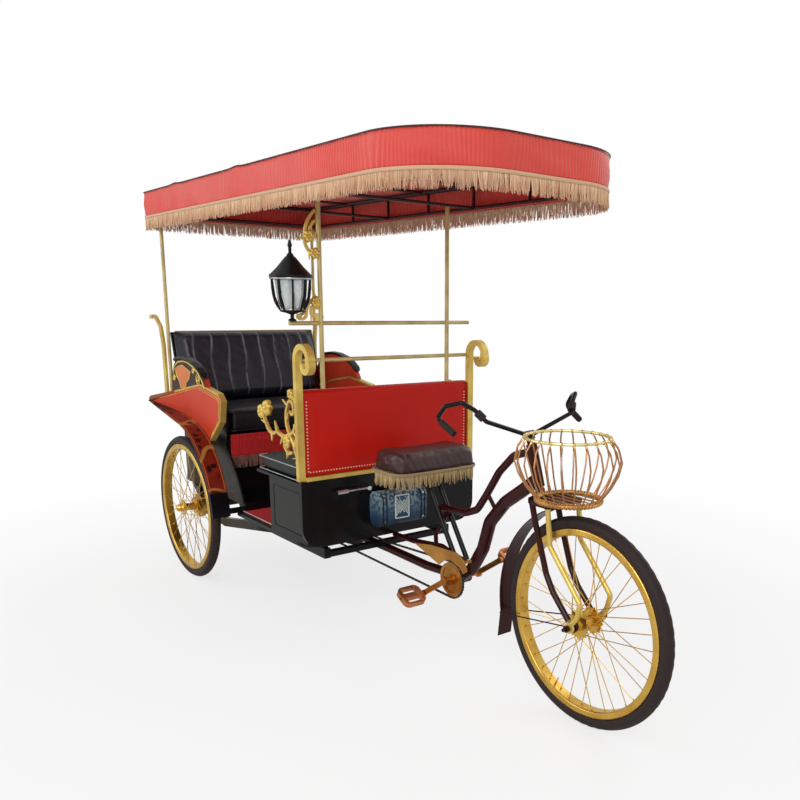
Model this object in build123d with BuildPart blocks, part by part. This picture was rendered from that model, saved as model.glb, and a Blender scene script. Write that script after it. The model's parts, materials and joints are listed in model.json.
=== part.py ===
from build123d import *
import math
import os

os.makedirs("parts", exist_ok=True)

# Electric tricycle with a fringed canopy. Millimetres.
# X runs forward, Y to the rider's left, Z up from the ground.
# Every X below is measured from the rear axle and placed with AX.

# Wheels
WHEELBASE = 2274.0
WHEEL_R = 355.0
TYRE_R = 22.5
TYRE_SIDES = 12
RIM_R = 317.0
RIM_INNER_R = 292.0
RIM_W = 44.0
SPOKES = 36
SPOKE_R = 1.6
HALF_TRACK = 450.0
SEAT_CLEARANCE = 0.3
PIN_CLEARANCE = 0.06

# Canopy outline
CANOPY_TAIL = 314.0
CANOPY_NOSE = 2050.0
CANOPY_HALF = 471.0
CANOPY_FRONT_R = 322.0
CANOPY_REAR_R = 45.0
CLOTH_T = 3.0
VALANCE_Z0 = 1755.0
VALANCE_Z1 = 1868.0
FRINGE_Z0 = 1693.0
FRINGE_T = 4.0
ROOF_RISE = 14.0

# Shared frame: the origin is under the middle of the length, which the front and rear tyres set
AX = -WHEELBASE / 2
FX = AX + WHEELBASE
WZ = WHEEL_R

# Cabin stations
FLOOR_Z = 420.0
FLOOR_T = 20.0
BODY_BOTTOM_Z = 406.0
BODY_HALF = 400.0
WELL_HALF = 362.0
BULK_X1 = 1155.0
BULK_T = 68.0
BULK_Z0 = 697.0
BULK_Z1 = 1036.0
BULK_HALF = 405.0
FRAME_T = 14.0
FRONT_BOX_X0 = 820.0
FRONT_BOX_Z1 = 660.0
FRONT_SEAT_X0 = 695.0
FRONT_SEAT_Z1 = 735.0
REAR_SEAT_X0 = -110.0
REAR_SEAT_X1 = 325.0
REAR_SEAT_Z0 = 752.0
REAR_SEAT_Z1 = 868.0
SKIRT_Z0 = 645.0
SKIRT_FRINGE_Z0 = 585.0
FENDER_R = 440.0
FENDER_T = 5.0
FENDER_Y0 = 421.0
FENDER_Y1 = 505.0
FENDER_A0 = 5.0
FENDER_A1 = 80.0
FENDER_TAIL = 410.0
PANEL_Y0 = 396.0
PANEL_Y1 = 420.0
LOWER_RAIL_Z = 1148.0
UPPER_RAIL_Z = 1288.0
RAIL_R = 8.0
FRONT_POST_X = 1128.0
FRONT_POST_Y = 304.0
POST_R = 9.0

# Cycle
RAKE = 18.0
HEAD_X = 2060.0
HEAD_Z = 713.0
BB_X = 1625.0
BB_Z = 335.0
RING_Y = -50.0
RING_R = 70.0
CRANK_LEN = 155.0
CRANK_DEG = 213.0
CHAIN_Z_REAR = 355.0
COG_R = 60.0
SADDLE_X = 1385.0
SADDLE_W = 400.0
SADDLE_D = 215.0
SADDLE_Z0 = 730.0
SADDLE_Z1 = 816.0

TAN_RAKE = math.tan(math.radians(RAKE))
steer_axis_dir = Vector(-math.sin(math.radians(RAKE)), 0, math.cos(math.radians(RAKE)))
HEAD_PLANE = Plane(origin=(AX + HEAD_X, 0, HEAD_Z), x_dir=(0, 1, 0), z_dir=steer_axis_dir)

# Wheels: tyre with a flat seat on the rim, then rim, laced wire spokes and hub in one piece.
# Columns: name, wheel centre x, wheel centre y, outboard side (0 means the front wheel)
WHEELS = [
    ("front", FX, 0.0, 0),
    ("rear_right", AX, -HALF_TRACK, -1),
]
FLANGE_R = 38.0
FLANGE_Y = 30.0
AXLE_R = {"front": 6.0, "rear_right": 11.0}
HUB_HALF = 46.0
HUB_SPIKES = 9
DRUM_R = 60.0
DRUM_T = 26.0
for wheel_name, wx, wy, side in WHEELS:
    spin = Axis((wx, wy, WZ), (0, 1, 0))
    with BuildPart() as tyre:
        with BuildSketch(Plane.XY.offset(WZ)):
            with Locations((wx + WHEEL_R - TYRE_R, wy)):
                RegularPolygon(TYRE_R, TYRE_SIDES)
            with Locations((wx + RIM_R + SEAT_CLEARANCE - 30, wy)):
                Rectangle(60, 60, mode=Mode.SUBTRACT)
        revolve(axis=spin)
    tyre.part.label = wheel_name + "_tyre"
    export_step(tyre.part, "parts/" + tyre.part.label + ".step")
    if side:
        left_tyre = mirror(tyre.part, about=Plane.XZ)
        left_tyre.label = "rear_left_tyre"
        export_step(left_tyre, "parts/rear_left_tyre.step")
    bore = AXLE_R[wheel_name] + PIN_CLEARANCE
    with BuildPart() as wheel:
        with BuildSketch(Plane.XY.offset(WZ)):
            with Locations((wx + (RIM_R + RIM_INNER_R) / 2, wy)):
                RectangleRounded(RIM_R - RIM_INNER_R, RIM_W, 6)
        revolve(axis=spin)
        with BuildSketch(Plane.XY.offset(WZ)):
            with BuildLine():
                Polyline(
                    (wx + bore, wy - HUB_HALF),
                    (wx + 16, wy - HUB_HALF),
                    (wx + 20, wy - FLANGE_Y - 4),
                    (wx + FLANGE_R, wy - FLANGE_Y - 2),
                    (wx + FLANGE_R, wy - FLANGE_Y + 2),
                    (wx + 20, wy - FLANGE_Y + 6),
                    (wx + 17, wy),
                    (wx + 20, wy + FLANGE_Y - 6),
                    (wx + FLANGE_R, wy + FLANGE_Y - 2),
                    (wx + FLANGE_R, wy + FLANGE_Y + 2),
                    (wx + 20, wy + FLANGE_Y + 4),
                    (wx + 16, wy + HUB_HALF),
                    (wx + bore, wy + HUB_HALF),
                    close=True,
                )
            make_face()
        revolve(axis=spin)
        for k in range(SPOKES):
            flange = 1 if k % 2 else -1
            lead = 1 if (k // 2) % 2 else -1
            rim_deg = k * 360.0 / SPOKES
            hub_deg = rim_deg + lead * 62.0
            ra, ha = math.radians(rim_deg), math.radians(hub_deg)
            at_hub = Vector(wx + 33 * math.cos(ha), wy + flange * (FLANGE_Y + lead), WZ + 33 * math.sin(ha))
            rim_reach = RIM_INNER_R + 3
            at_rim = Vector(wx + rim_reach * math.cos(ra), wy + flange * 4, WZ + rim_reach * math.sin(ra))
            with BuildSketch(Plane(origin=at_hub, z_dir=at_rim - at_hub)):
                RegularPolygon(SPOKE_R, 5)
            extrude(amount=(at_rim - at_hub).length)
        if not side:
            # Spiked brass plates outside both flanges of the front hub
            for s in (-1, 1):
                with BuildSketch(Plane.XZ.offset(-wy - s * (FLANGE_Y + 2))):
                    with Locations((wx, WZ)):
                        Circle(FLANGE_R + 4)
                        with PolarLocations(FLANGE_R + 4, HUB_SPIKES):
                            Triangle(a=22, b=16, c=16, rotation=-90)
                        Circle(19, mode=Mode.SUBTRACT)
                extrude(amount=-s * 3)
        if side:
            # Brake drum inboard of the hub and a ball cap outboard
            with BuildSketch(Plane.XY.offset(WZ)):
                with BuildLine():
                    Polyline(
                        (wx + bore, wy - side * HUB_HALF),
                        (wx + bore, wy - side * (HUB_HALF + DRUM_T)),
                        (wx + DRUM_R - 6, wy - side * (HUB_HALF + DRUM_T)),
                        (wx + DRUM_R, wy - side * (HUB_HALF + DRUM_T - 6)),
                        (wx + DRUM_R, wy - side * (HUB_HALF + 2)),
                        (wx + 30, wy - side * (HUB_HALF - 4)),
                        (wx + 14, wy - side * (HUB_HALF - 4)),
                        (wx + bore, wy - side * HUB_HALF),
                        close=True,
                    )
                make_face()
            revolve(axis=spin)
            with BuildSketch(Plane.XY.offset(WZ)):
                with BuildLine():
                    Polyline(
                        (wx, wy + side * (HUB_HALF - 2)),
                        (wx + 17, wy + side * (HUB_HALF - 2)),
                        (wx + 19, wy + side * (HUB_HALF + 5)),
                        (wx + 15, wy + side * (HUB_HALF + 14)),
                        (wx + 7, wy + side * (HUB_HALF + 19)),
                        (wx, wy + side * (HUB_HALF + 20)),
                        close=True,
                    )
                make_face()
            revolve(axis=spin)
    wheel.part.label = wheel_name + "_wheel"
    export_step(wheel.part, "parts/" + wheel.part.label + ".step")
    if side:
        left_wheel = mirror(wheel.part, about=Plane.XZ)
        left_wheel.label = "rear_left_wheel"
        export_step(left_wheel, "parts/rear_left_wheel.step")

# Rear axle: one straight tube with stubs in the hubs, a gear housing and the chain's cog
AXLE_TUBE_R = 24.0
AXLE_TUBE_HALF = HALF_TRACK - HUB_HALF - DRUM_T - 6.0
with BuildPart() as rear_axle:
    with BuildSketch(Plane.XZ.offset(-AXLE_TUBE_HALF)):
        with Locations((AX, WZ)):
            Circle(AXLE_TUBE_R)
    extrude(amount=2 * AXLE_TUBE_HALF)
    with BuildSketch(Plane.XZ.offset(-(HALF_TRACK + HUB_HALF - 6))):
        with Locations((AX, WZ)):
            Circle(AXLE_R["rear_right"])
    extrude(amount=2 * (HALF_TRACK + HUB_HALF - 6))
    with BuildSketch(Plane.XZ.offset(20)):
        with Locations((AX, WZ)):
            Circle(48)
    extrude(amount=-100)
    with BuildSketch(Plane.XZ.offset(-RING_Y + 2)):
        with Locations((AX, WZ)):
            Circle(COG_R - 4.6)
    extrude(amount=-32)
rear_axle.part.label = "rear_axle"
export_step(rear_axle.part, "parts/rear_axle.step")

# Undercarriage: two side rails dropping under the axle, cross members and axle clamps
RAIL_Y = 305.0
RAIL_W = 28.0
RAIL_H = 42.0
with BuildPart() as undercarriage:
    for s in (-1, 1):
        with BuildLine() as rail_line:
            Polyline(
                (AX - 270, s * RAIL_Y, 412),
                (AX - 110, s * RAIL_Y, 292),
                (AX + 110, s * RAIL_Y, 276),
                (AX + 640, s * RAIL_Y, 364),
                (AX + 1130, s * RAIL_Y, 364),
            )
        with BuildSketch(Plane(rail_line.line @ 0, x_dir=(0, 1, 0), z_dir=rail_line.line % 0)):
            Rectangle(RAIL_W, RAIL_H)
        sweep(transition=Transition.RIGHT)
        with Locations((AX, s * RAIL_Y, 313.3)):
            Box(60, 36, 34)
        with Locations((AX - 262, s * RAIL_Y, 419.7)):
            Box(44, 36, 36)
        with Locations((AX + 660, s * RAIL_Y, 390), (AX + 1080, s * RAIL_Y, 390)):
            Box(60, RAIL_W, 19.4)
    for x, z, tall in ((-262.0, 420.7, 34.0), (700.0, 356.0, 22.0), (920.0, 356.2, 21.6), (1110.0, 356.2, 21.6)):
        with Locations((AX + x, 0, z)):
            Box(36, 2 * RAIL_Y, tall)
undercarriage.part.label = "undercarriage"
export_step(undercarriage.part, "parts/undercarriage.step")

# Cabin tub: floor, wheel-well side walls and back wall in sheet, open at both sides of the footwell
WALL_T = 8.0
TUB_BACK_X = -235.0
WALL_TOP_Z = 862.0
with BuildPart() as cabin_tub:
    with BuildSketch(Plane.XY.offset(FLOOR_Z - FLOOR_T)) as floor_plan:
        with Locations((AX + (470 + BULK_X1 - 12) / 2, 0)):
            Rectangle(BULK_X1 - 12 - 470, 2 * BODY_HALF)
        fillet(floor_plan.vertices().group_by(Axis.X)[-1], 90)
    extrude(amount=FLOOR_T - 4)
    with BuildSketch(Plane.XY.offset(438)):
        with Locations((AX + (TUB_BACK_X + 470) / 2, 0)):
            Rectangle(470 - TUB_BACK_X, 2 * WELL_HALF)
    extrude(amount=12)
    for s in (-1, 1):
        with BuildSketch(Plane.XZ.offset(-s * WELL_HALF)):
            with BuildLine():
                Polyline(
                    (AX + TUB_BACK_X, 438),
                    (AX + TUB_BACK_X, WALL_TOP_Z),
                    (AX + 310, WALL_TOP_Z),
                    (AX + 320, 800),
                    (AX + 290, 700),
                    (AX + 400, 560),
                    (AX + 490, FLOOR_Z - FLOOR_T),
                    (AX + 430, FLOOR_Z - FLOOR_T),
                    (AX + 400, 438),
                    close=True,
                )
            make_face()
        extrude(amount=s * WALL_T)
    with BuildSketch(Plane.XY.offset(438)):
        with Locations((AX + TUB_BACK_X - WALL_T / 2, 0)):
            Rectangle(WALL_T, 2 * WELL_HALF)
    extrude(amount=WALL_TOP_Z - 438)
    for s in (-1, 1):
        with Locations((AX + (TUB_BACK_X + 300) / 2, s * (WELL_HALF + PANEL_Y0 - 0.6) / 2, WALL_TOP_Z - 6)):
            Box(300 - TUB_BACK_X, PANEL_Y0 - WELL_HALF - 0.4, 12)
    with BuildSketch(Plane.XY.offset(FLOOR_Z - FLOOR_T)):
        with Locations((AX + 474, 0)):
            Rectangle(WALL_T, 2 * WELL_HALF)
    extrude(amount=50)
cabin_tub.part.label = "cabin_tub"
export_step(cabin_tub.part, "parts/cabin_tub.step")

# Red carpet on the footwell floor
with BuildPart() as carpet:
    with BuildSketch(Plane.XY.offset(FLOOR_Z - 3.6)):
        with Locations((AX + (484 + FRONT_BOX_X0 - 4) / 2, 0)):
            Rectangle(FRONT_BOX_X0 - 4 - 484, 2 * BODY_HALF - 40)
    extrude(amount=5)
carpet.part.label = "carpet"
export_step(carpet.part, "parts/carpet.step")

# Rear seat base: a front board and two side boards under the cushion, hollow behind
with BuildPart() as rear_seat_base:
    with Locations((AX + REAR_SEAT_X1 - 20, 0, (450 + REAR_SEAT_Z0) / 2)):
        Box(14, 2 * WELL_HALF - 2 * WALL_T - 2, REAR_SEAT_Z0 - 450 - 0.8)
    with Locations((AX + (REAR_SEAT_X0 + REAR_SEAT_X1 - 13) / 2, 0, REAR_SEAT_Z0 - 7.5)):
        Box(REAR_SEAT_X1 - REAR_SEAT_X0 - 13, 2 * WELL_HALF - 2 * WALL_T - 2, 14)
rear_seat_base.part.label = "rear_seat_base"
export_step(rear_seat_base.part, "parts/rear_seat_base.step")

# Rear seat cushion, its red skirt and the skirt's fringe
with BuildPart() as rear_cushion:
    with BuildSketch(Plane.XY.offset(REAR_SEAT_Z0 + SEAT_CLEARANCE)):
        with Locations((AX + (REAR_SEAT_X0 + REAR_SEAT_X1) / 2, 0)):
            RectangleRounded(REAR_SEAT_X1 - REAR_SEAT_X0, 2 * WELL_HALF - 2 * WALL_T - 4, 30)
    extrude(amount=REAR_SEAT_Z1 - REAR_SEAT_Z0)
    fillet(rear_cushion.faces().sort_by(Axis.Z)[-1].edges(), 26)
rear_cushion.part.label = "rear_cushion"
export_step(rear_cushion.part, "parts/rear_cushion.step")

SKIRT_X = REAR_SEAT_X1 - 13 + 2
with BuildPart() as seat_skirt:
    with Locations((AX + SKIRT_X + 6, 0, (SKIRT_Z0 + REAR_SEAT_Z0 + SEAT_CLEARANCE) / 2)):
        Box(10, 2 * WELL_HALF - 2 * WALL_T - 8, REAR_SEAT_Z0 - SKIRT_Z0 - SEAT_CLEARANCE)
seat_skirt.part.label = "seat_skirt"
export_step(seat_skirt.part, "parts/seat_skirt.step")
with BuildPart() as skirt_fringe:
    with Locations((AX + SKIRT_X + 6, 0, (SKIRT_FRINGE_Z0 + SKIRT_Z0) / 2)):
        Box(6, 2 * WELL_HALF - 2 * WALL_T - 8, SKIRT_Z0 - SKIRT_FRINGE_Z0)
skirt_fringe.part.label = "skirt_fringe"
export_step(skirt_fringe.part, "parts/skirt_fringe.step")

# Reclined back rest: a board and a leather pad in front of it
BACK_TOP_X = -222.0
BACK_TOP_Z = 1212.0
BACK_FOOT_X = -128.0
BACK_FOOT_Z = 872.0
PAD_T = 52.0
BOARD_T = 14.0
BACK_HALF = 389.0
back_dir = Vector(BACK_TOP_X - BACK_FOOT_X, 0, BACK_TOP_Z - BACK_FOOT_Z)
back_norm = Vector(back_dir.Z, 0, -back_dir.X).normalized()
back_len = back_dir.length
back_origin = Vector(AX + BACK_FOOT_X, 0, BACK_FOOT_Z)
BACK_PLANE = Plane(origin=back_origin, x_dir=(0, 1, 0), z_dir=back_norm)
with BuildPart() as seat_back:
    with BuildSketch(BACK_PLANE.offset(-PAD_T / 2)):
        with Locations((0, back_len / 2)):
            RectangleRounded(2 * BACK_HALF, back_len, 25)
    extrude(amount=PAD_T - SEAT_CLEARANCE)
    fillet(seat_back.faces().sort_by(Axis.X)[-1].edges(), 18)
seat_back.part.label = "seat_back"
export_step(seat_back.part, "parts/seat_back.step")
with BuildPart() as back_board:
    with BuildSketch(BACK_PLANE.offset(-PAD_T / 2 - BOARD_T)):
        with Locations((0, back_len / 2 + 3)):
            Rectangle(2 * (PANEL_Y0 - SEAT_CLEARANCE), back_len - 6)
    extrude(amount=BOARD_T)
back_board.part.label = "back_board"
export_step(back_board.part, "parts/back_board.step")

# Side panels: red boards over the wheels with a gold trim round the open edges.
# The lower edge follows the mudguard, the rest is this outline (x, z) from tail to front foot.
GUARD_R = FENDER_R + FENDER_T / 2 + 0.5
PANEL_FOOT_A = 56.0
PANEL_OUTLINE = [(-326.0, 872.0), (-40.0, 940.0), (160.0, 975.0), (365.0, 947.0), (396.0, 918.0), (372.0, 825.0)]
TRIM_W = 9.0
foot = (
    AX + GUARD_R * math.cos(math.radians(PANEL_FOOT_A)),
    WZ + GUARD_R * math.sin(math.radians(PANEL_FOOT_A)),
)
crest = (
    AX + GUARD_R * math.cos(math.radians(FENDER_A1)),
    WZ + GUARD_R * math.sin(math.radians(FENDER_A1)),
)
mid_a = math.radians((PANEL_FOOT_A + FENDER_A1) / 2)
mid_guard = (AX + GUARD_R * math.cos(mid_a), WZ + GUARD_R * math.sin(mid_a))
tail_dir = (-math.sin(math.radians(FENDER_A1)), math.cos(math.radians(FENDER_A1)))
tail = (crest[0] + (FENDER_TAIL - 8) * tail_dir[0], crest[1] + (FENDER_TAIL - 8) * tail_dir[1])
outline_pts = [(AX + x, z) for x, z in PANEL_OUTLINE]
# Plan of the panel's outer face (x, y): straight along the seat, then spreading to the mudguard's tail
FLARE_X = -60.0
FLARE_TAIL_X = -345.0
FLARE_Y = FENDER_Y1 - 2.0
flare_face = [(AX + 420, PANEL_Y1), (AX + FLARE_X, PANEL_Y1), (AX + FLARE_TAIL_X, FLARE_Y)]
flare_cut = flare_face + [(AX + FLARE_TAIL_X, FLARE_Y + 60), (AX + 420, FLARE_Y + 60)]
trim_cut = [(AX + FLARE_X, PANEL_Y0 - 5), (AX + FLARE_X, PANEL_Y0 - 4), (AX + FLARE_TAIL_X, FLARE_Y - 26), (AX + FLARE_TAIL_X, PANEL_Y0 - 5)]
with BuildPart() as side_panels:
    for s in (-1, 1):
        with BuildSketch(Plane.XZ.offset(-s * PANEL_Y0)):
            with BuildLine():
                Polyline(*([tail] + outline_pts + [foot]))
                ThreePointArc(foot, mid_guard, crest)
                Line(crest, tail)
            make_face()
            with BuildLine():
                Polyline(*([tail] + outline_pts + [foot]))
            trace(line_width=TRIM_W + 0.6, mode=Mode.SUBTRACT)
        extrude(amount=-s * (FLARE_Y - PANEL_Y0))
        with BuildSketch(Plane.XY.offset(400)):
            with BuildLine():
                Polyline(*[(x, s * y) for x, y in flare_cut], close=True)
            make_face()
        extrude(amount=700, mode=Mode.SUBTRACT)
side_panels.part.label = "side_panels"
export_step(side_panels.part, "parts/side_panels.step")
with BuildPart() as panel_trims:
    for s in (-1, 1):
        with BuildSketch(Plane.XZ.offset(-s * (PANEL_Y0 - 4))):
            with BuildLine():
                Polyline(*outline_pts + [foot])
            trace(line_width=TRIM_W)
        extrude(amount=-s * (FLARE_Y - PANEL_Y0 + 3.7))
        for cutter in (flare_cut, trim_cut):
            with BuildSketch(Plane.XY.offset(400)):
                with BuildLine():
                    Polyline(*[(x, s * y) for x, y in cutter], close=True)
                make_face()
            extrude(amount=700, mode=Mode.SUBTRACT)
panel_trims.part.label = "panel_trims"
export_step(panel_trims.part, "parts/panel_trims.step")

# Rear mudguards: a flat band round the front of each wheel running straight out behind
with BuildPart() as rear_fenders:
    for s in (-1, 1):
        with BuildSketch(Plane.XZ.offset(-s * (PANEL_Y1 + SEAT_CLEARANCE))):
            with BuildLine():
                guard = CenterArc((AX, WZ), FENDER_R, FENDER_A0, FENDER_A1 - FENDER_A0)
                guard_end = guard @ 1
                Line(guard_end, (guard_end.X + FENDER_TAIL * tail_dir[0], guard_end.Y + FENDER_TAIL * tail_dir[1]))
            trace(line_width=FENDER_T)
        extrude(amount=-s * (FENDER_Y1 - PANEL_Y1 - SEAT_CLEARANCE))
        with BuildSketch(Plane.XZ.offset(-s * 364)):
            with Locations((AX + FENDER_R - 3, WZ + 62)):
                Rectangle(8, 26)
        extrude(amount=-s * 60)
rear_fenders.part.label = "rear_fenders"
export_step(rear_fenders.part, "parts/rear_fenders.step")

# Arm rests: an arched board on each side panel and a leather roll over the arch
ARM_BASE = [(-195.0, 908.0), (-40.0, 946.0), (160.0, 981.0), (236.0, 971.0)]
ARM_ARCH = [(236.0, 971.0), (215.0, 1000.0), (165.0, 1038.0), (100.0, 1064.0), (30.0, 1080.0),
            (-40.0, 1084.0), (-110.0, 1076.0), (-165.0, 1052.0), (-195.0, 1008.0)]
with BuildPart() as arm_boards:
    for s in (-1, 1):
        with BuildSketch(Plane.XZ.offset(-s * PANEL_Y0)):
            with BuildLine():
                Polyline(*[(AX + x, z) for x, z in ARM_BASE + ARM_ARCH[1:]], close=True)
            make_face()
        extrude(amount=-s * (PANEL_Y1 - PANEL_Y0))
arm_boards.part.label = "arm_boards"
export_step(arm_boards.part, "parts/arm_boards.step")
ARM_PAD_W = 46.0
ARM_PAD_T = 20.0
PAD_LIFT = ARM_PAD_T / 2 + SEAT_CLEARANCE + 0.5
ARM_PAD_PATH = [(222.0, 1000.0), (168.0, 1046.0), (102.0, 1073.0), (30.0, 1090.0),
                (-40.0, 1094.0), (-112.0, 1087.0), (-170.0, 1060.0)]
with BuildPart() as arm_pads:
    for s in (-1, 1):
        with BuildSketch(Plane.XZ.offset(-s * (PANEL_Y0 - 5))):
            with BuildLine():
                Polyline(*[(AX + x, z + 5) for x, z in ARM_PAD_PATH])
            trace(line_width=ARM_PAD_T)
            with BuildLine():
                Polyline(*[(AX + x, z) for x, z in ARM_BASE + ARM_ARCH[1:]], close=True)
            make_face(mode=Mode.SUBTRACT)
            with BuildLine():
                Polyline(*[(AX + x, z) for x, z in ARM_ARCH])
            trace(line_width=1.0, mode=Mode.SUBTRACT)
        extrude(amount=-s * ARM_PAD_W)
arm_pads.part.label = "arm_pads"
export_step(arm_pads.part, "parts/arm_pads.step")

# Gold corner strips beside the back rest, curling outwards at the top
STRIP_X0 = -292.0
STRIP_W = 34.0
STRIP_T = 11.0
STRIP_PATH = [(424.0, 884.0), (426.0, 1140.0), (434.0, 1230.0), (456.0, 1282.0), (474.0, 1290.0), (478.0, 1272.0)]
with BuildPart() as corner_strips:
    for s in (-1, 1):
        with BuildSketch(Plane.YZ.offset(AX + STRIP_X0)):
            with BuildLine():
                FilletPolyline(*[(s * y, z) for y, z in STRIP_PATH], radius=8)
            trace(line_width=STRIP_T)
        extrude(amount=STRIP_W)
corner_strips.part.label = "corner_strips"
export_step(corner_strips.part, "parts/corner_strips.step")

# Front seat: a hollow battery box, its lid board, the battery inside and the cushion
BOX_WALL = 12.0
BOX_Z0 = FLOOR_Z - 4 + SEAT_CLEARANCE
FRONT_SEAT_X1 = BULK_X1 - BULK_T - 1
with BuildPart() as front_box:
    with BuildSketch(Plane.XY.offset(BOX_Z0)):
        with Locations((AX + (FRONT_BOX_X0 + BULK_X1 - 12) / 2, 0)):
            Rectangle(BULK_X1 - 12 - FRONT_BOX_X0, 2 * BODY_HALF)
            Rectangle(BULK_X1 - 12 - FRONT_BOX_X0 - 2 * BOX_WALL, 2 * (BODY_HALF - BOX_WALL), mode=Mode.SUBTRACT)
    extrude(amount=FRONT_BOX_Z1 - 12 - BOX_Z0)
    for s in (-1, 1):
        with BuildSketch(Plane.XZ.offset(-s * (BODY_HALF - 4))):
            with Locations((AX + (FRONT_BOX_X0 + BULK_X1 - 12) / 2, (BOX_Z0 + FRONT_BOX_Z1) / 2 - 6)):
                RectangleRounded(250, 175, 12)
        extrude(amount=-s * 4, mode=Mode.SUBTRACT)
    with Locations((AX + (FRONT_SEAT_X0 + 6 + FRONT_SEAT_X1) / 2, 0, FRONT_BOX_Z1 - 6)):
        Box(FRONT_SEAT_X1 - FRONT_SEAT_X0 - 6, 2 * BODY_HALF, 12)
front_box.part.label = "front_box"
export_step(front_box.part, "parts/front_box.step")
with BuildPart() as battery:
    with Locations((AX + 985, 0, BOX_Z0 + 0.5 + 85)):
        Box(230, 520, 170)
battery.part.label = "battery"
export_step(battery.part, "parts/battery.step")
with BuildPart() as front_cushion:
    with BuildSketch(Plane.XY.offset(FRONT_BOX_Z1 + SEAT_CLEARANCE)):
        with Locations((AX + (FRONT_SEAT_X0 + FRONT_SEAT_X1) / 2, 0)):
            RectangleRounded(FRONT_SEAT_X1 - FRONT_SEAT_X0, 2 * BODY_HALF - 6, 22)
    extrude(amount=FRONT_SEAT_Z1 - FRONT_BOX_Z1)
    fillet(front_cushion.faces().sort_by(Axis.Z)[-1].edges(), 20)
front_cushion.part.label = "front_cushion"
export_step(front_cushion.part, "parts/front_cushion.step")

# Bulkhead: the red padded board behind the rider and its gold frame with scrolled uprights
with BuildPart() as bulkhead:
    with Locations((AX + BULK_X1 - BULK_T / 2, 0, (BULK_Z0 + BULK_Z1) / 2)):
        Box(BULK_T, 2 * BULK_HALF, BULK_Z1 - BULK_Z0)
    fillet(bulkhead.faces().sort_by(Axis.Z)[-1].edges().filter_by(Axis.Y), 24)
bulkhead.part.label = "bulkhead"
export_step(bulkhead.part, "parts/bulkhead.step")
UPRIGHT_X = 1144.0
UPRIGHT_W = 28.0
UPRIGHT_T = 22.0
SCROLL_Z = 1152.0
SCROLL_R = 52.0
CURL_R = 26.0
with BuildPart() as bulkhead_frame:
    for s in (-1, 1):
        with BuildSketch(Plane.XZ.offset(-s * (BULK_HALF + SEAT_CLEARANCE))):
            with BuildLine():
                Line((AX + UPRIGHT_X, BULK_Z0 - 14), (AX + UPRIGHT_X, SCROLL_Z))
                ThreePointArc(
                    (AX + UPRIGHT_X, SCROLL_Z),
                    (AX + UPRIGHT_X + SCROLL_R, SCROLL_Z + SCROLL_R),
                    (AX + UPRIGHT_X + 2 * SCROLL_R, SCROLL_Z),
                )
                ThreePointArc(
                    (AX + UPRIGHT_X + 2 * SCROLL_R, SCROLL_Z),
                    (AX + UPRIGHT_X + 2 * SCROLL_R - CURL_R, SCROLL_Z - CURL_R - 14),
                    (AX + UPRIGHT_X + 2 * SCROLL_R - 2 * CURL_R + 4, SCROLL_Z - 10),
                )
            trace(line_width=UPRIGHT_T)
        extrude(amount=-s * UPRIGHT_W)
    with Locations((AX + BULK_X1 - 6, 0, BULK_Z0 - 8)):
        Box(26, 2 * BULK_HALF + 2, 15.4)
bulkhead_frame.part.label = "bulkhead_frame"
export_step(bulkhead_frame.part, "parts/bulkhead_frame.step")

# Kick panel below the bulkhead
with BuildPart() as kick_panel:
    with BuildSketch(Plane.YZ.offset(AX + BULK_X1 - 12 + SEAT_CLEARANCE)):
        with Locations((0, (BODY_BOTTOM_Z + BULK_Z0 - 16) / 2)):
            Rectangle(2 * 430, BULK_Z0 - 16 - BODY_BOTTOM_Z)
        fillet(kick_panel_low := [v for v in vertices() if v.Y < BODY_BOTTOM_Z + 5], 88)
    extrude(amount=20)
kick_panel.part.label = "kick_panel"
export_step(kick_panel.part, "parts/kick_panel.step")

# Front posts with the two cross rails, and the rear posts
POST_TOP_Z = 1763.0
with BuildPart() as front_posts:
    for s in (-1, 1):
        with Locations((AX + FRONT_POST_X, s * FRONT_POST_Y, (BULK_Z1 + SEAT_CLEARANCE + POST_TOP_Z) / 2)):
            Cylinder(POST_R, POST_TOP_Z - BULK_Z1 - SEAT_CLEARANCE)
    for rail_z, y0, y1 in ((LOWER_RAIL_Z, -405.0, 405.0), (UPPER_RAIL_Z, -438.0, 422.0)):
        with BuildSketch(Plane.XZ.offset(-y1)):
            with Locations((AX + FRONT_POST_X, rail_z)):
                Circle(RAIL_R)
        extrude(amount=y1 - y0)
front_posts.part.label = "front_posts"
export_step(front_posts.part, "parts/front_posts.step")
REAR_POST_X1 = -241.0
REAR_POST_Y1 = 411.0
REAR_POST_Z0 = 890.0
with BuildPart() as rear_posts:
    for s in (-1, 1):
        with Locations((AX + REAR_POST_X1, s * REAR_POST_Y1, (REAR_POST_Z0 + POST_TOP_Z) / 2)):
            Cylinder(8.5, POST_TOP_Z - REAR_POST_Z0)
rear_posts.part.label = "rear_posts"
export_step(rear_posts.part, "parts/rear_posts.step")

# Canopy: a steel frame of two rings with struts, a cloth cover with a deep valance, and a fringe.
# The plan has large round corners in front and small ones behind.
CANOPY_X0 = AX - CANOPY_TAIL
CANOPY_X1 = AX + CANOPY_NOSE
RING_R_TUBE = 7.0
LOW_RING_Z = POST_TOP_Z + SEAT_CLEARANCE + RING_R_TUBE * math.cos(math.pi / 6)
HIGH_RING_Z = VALANCE_Z1 - CLOTH_T - SEAT_CLEARANCE - RING_R_TUBE
RING_INSET = 24.0
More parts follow.
